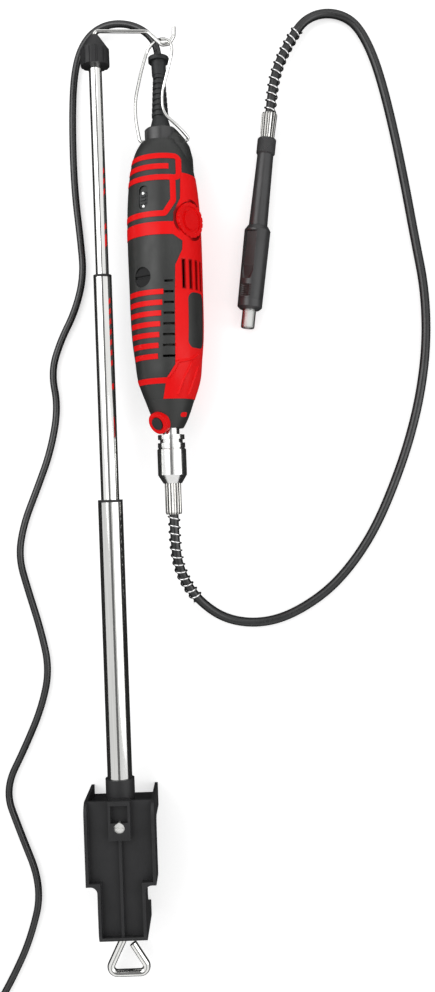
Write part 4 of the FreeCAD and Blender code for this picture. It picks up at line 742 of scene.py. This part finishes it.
def lathe(name, profile, place, way):
    """A turned piece: profile is radius and height, set at a place and standing along a way."""
    up = Vector(way).normalized()
    side = up.orthogonal().normalized()
    over = up.cross(side)
    spots = []
    faces = []
    for radius, height in profile:
        for step in range(LATHE_SIDES):
            angle = 2 * math.pi * step / LATHE_SIDES
            out = side * math.cos(angle) + over * math.sin(angle)
            spots.append(Vector(place) + up * height + out * max(radius, LATHE_LEAST))
    for row in range(len(profile) - 1):
        low = row * LATHE_SIDES
        high = low + LATHE_SIDES
        for step in range(LATHE_SIDES):
            beside = (step + 1) % LATHE_SIDES
            faces.append((low + step, low + beside, high + beside, high + step))
    faces.append(tuple(range(LATHE_SIDES))[::-1])
    faces.append(tuple(range((len(profile) - 1) * LATHE_SIDES, len(profile) * LATHE_SIDES)))
    mesh = bpy.data.meshes.new(name)
    mesh.from_pydata(spots, [], faces)
    mesh.shade_smooth()
    thing = bpy.data.objects.new(name, mesh)
    bpy.context.scene.collection.objects.link(thing)
    return thing


STUD = [
    (0.00125, -0.0004), (0.00125, 0.0001), (0.00110, 0.0003), (0.00078, 0.00036), (0.00070, 0.00016),
    (0.00040, 0.00014), (0.0, 0.00013),
]
STUD_ANGLE = math.radians(121.0)
STUD_REACH = 0.0270
STUD_STATIONS = {"upper_stud": 0.2369, "lower_stud": 0.2272}


def make_studs():
    way = (math.cos(STUD_ANGLE), 0, math.sin(STUD_ANGLE))
    for name, station in STUD_STATIONS.items():
        place = (TOOL_X + STUD_REACH * way[0], station, TOOL_Z + STUD_REACH * way[2])
        stud = lathe(name, STUD, place, way)
        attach(stud, "switch")
        paint(stud, STEEL)


make_ridges()
make_studs()


# Floor, light and the dark cards that only reflections see

FLOOR_LEVEL = -0.0006
FLOOR_HALF = 6
FLOOR_WHITE = 0.78
FLOOR_GLOW = 0.54
WORLD_LIGHT = 0.48
CARD_LEVEL = -0.0003
CARD_ACROSS = 0.44
CARD_ALONG = (-0.62, 0.56)
CARD_TOP = 0.085
CARD_SHADE = 0.03
HIGH_CARD_LEVEL = 1.35
HIGH_CARD_SHADE = 0.2


def plane(name, *corners):
    mesh = bpy.data.meshes.new(name)
    mesh.from_pydata(corners, [], [(0, 1, 2, 3)])
    thing = bpy.data.objects.new(name, mesh)
    bpy.context.scene.collection.objects.link(thing)
    return thing


def level_plane(name, low, high, level):
    """Lies at one height, between two corners of X and Y."""
    return plane(
        name,
        (low[0], low[1], level), (high[0], low[1], level),
        (high[0], high[1], level), (low[0], high[1], level),
    )


def upright_plane(name, across, low, high):
    """Stands across X, between two corners of Y and Z."""
    return plane(
        name,
        (across, low[0], low[1]), (across, high[0], low[1]),
        (across, high[0], high[1]), (across, low[0], high[1]),
    )


def seen_rays(tree):
    """1 for rays from the camera, a reflection or glass, else 0."""
    path = tree.nodes.new("ShaderNodeLightPath")
    total = maths(tree, "MAXIMUM", path.outputs["Is Camera Ray"], path.outputs["Is Glossy Ray"])
    return maths(tree, "MAXIMUM", total, path.outputs["Is Transmission Ray"])


def make_floor():
    floor = level_plane("floor", (-FLOOR_HALF, -FLOOR_HALF), (FLOOR_HALF, FLOOR_HALF), FLOOR_LEVEL)
    material, tree, shader = new_material("floor_white", (FLOOR_WHITE,) * 3, 0.9, specular=0.1)
    shader.inputs["Emission Color"].default_value = (1, 1, 1, 1)
    glow = spread(tree, seen_rays(tree), 0.0, FLOOR_GLOW, 0.0, 1.0)
    tree.links.new(glow, shader.inputs["Emission Strength"])
    floor.data.materials.append(material)


def darken(card, shade):
    """Gives the plane an even dark shade that only reflections see."""
    material = bpy.data.materials.new(card.name)
    material.use_nodes = True
    tree = material.node_tree
    tree.nodes.remove(tree.nodes["Principled BSDF"])
    glow = tree.nodes.new("ShaderNodeEmission")
    glow.inputs["Color"].default_value = (shade, shade, shade, 1)
    tree.links.new(glow.outputs["Emission"], tree.nodes["Material Output"].inputs["Surface"])
    card.data.materials.append(material)
    card.visible_camera = False
    card.visible_diffuse = False
    card.visible_shadow = False
    card.visible_transmission = False
    card.visible_volume_scatter = False


def lamp(name, place, size, power):
    """An oblong lamp that faces the middle of the set."""
    light = bpy.data.lights.new(name, "AREA")
    light.shape = "RECTANGLE"
    light.size, light.size_y = size
    light.energy = power
    holder = bpy.data.objects.new(name, light)
    bpy.context.scene.collection.objects.link(holder)
    holder.location = place
    holder.rotation_euler = (-Vector(place)).to_track_quat("-Z", "Y").to_euler()


def make_world():
    world = bpy.data.worlds.new("studio")
    world.use_nodes = True
    tree = world.node_tree
    back = tree.nodes["Background"]
    back.inputs["Color"].default_value = (1, 1, 1, 1)
    strength = spread(tree, seen_rays(tree), WORLD_LIGHT, 1.0, 0.0, 1.0)
    tree.links.new(strength, back.inputs["Strength"])
    bpy.context.scene.world = world


def make_cards():
    """A low tray of three round the set, and one strip high over it."""
    low, high = CARD_ALONG
    tray = level_plane("low_card", (-CARD_ACROSS, low), (CARD_ACROSS, high), CARD_LEVEL)
    left = upright_plane("left_card", -CARD_ACROSS, (low, 0.0), (high, CARD_TOP))
    right = upright_plane("right_card", CARD_ACROSS, (low, 0.0), (high, CARD_TOP))
    for card in (tray, left, right):
        darken(card, CARD_SHADE)
    darken(level_plane("high_card", (-0.30, -1.6), (0.18, 1.6), HIGH_CARD_LEVEL), HIGH_CARD_SHADE)


make_floor()
make_cards()
lamp("key_left", (-1.3, 0.6, 1.5), (1.0, 1.8), 15)
lamp("fill_right", (1.5, -0.2, 1.3), (0.8, 2.0), 10)
lamp("top_soft", (0.0, 1.4, 1.9), (2.0, 0.8), 7)
make_world()
bpy.context.scene.view_settings.view_transform = "Standard"
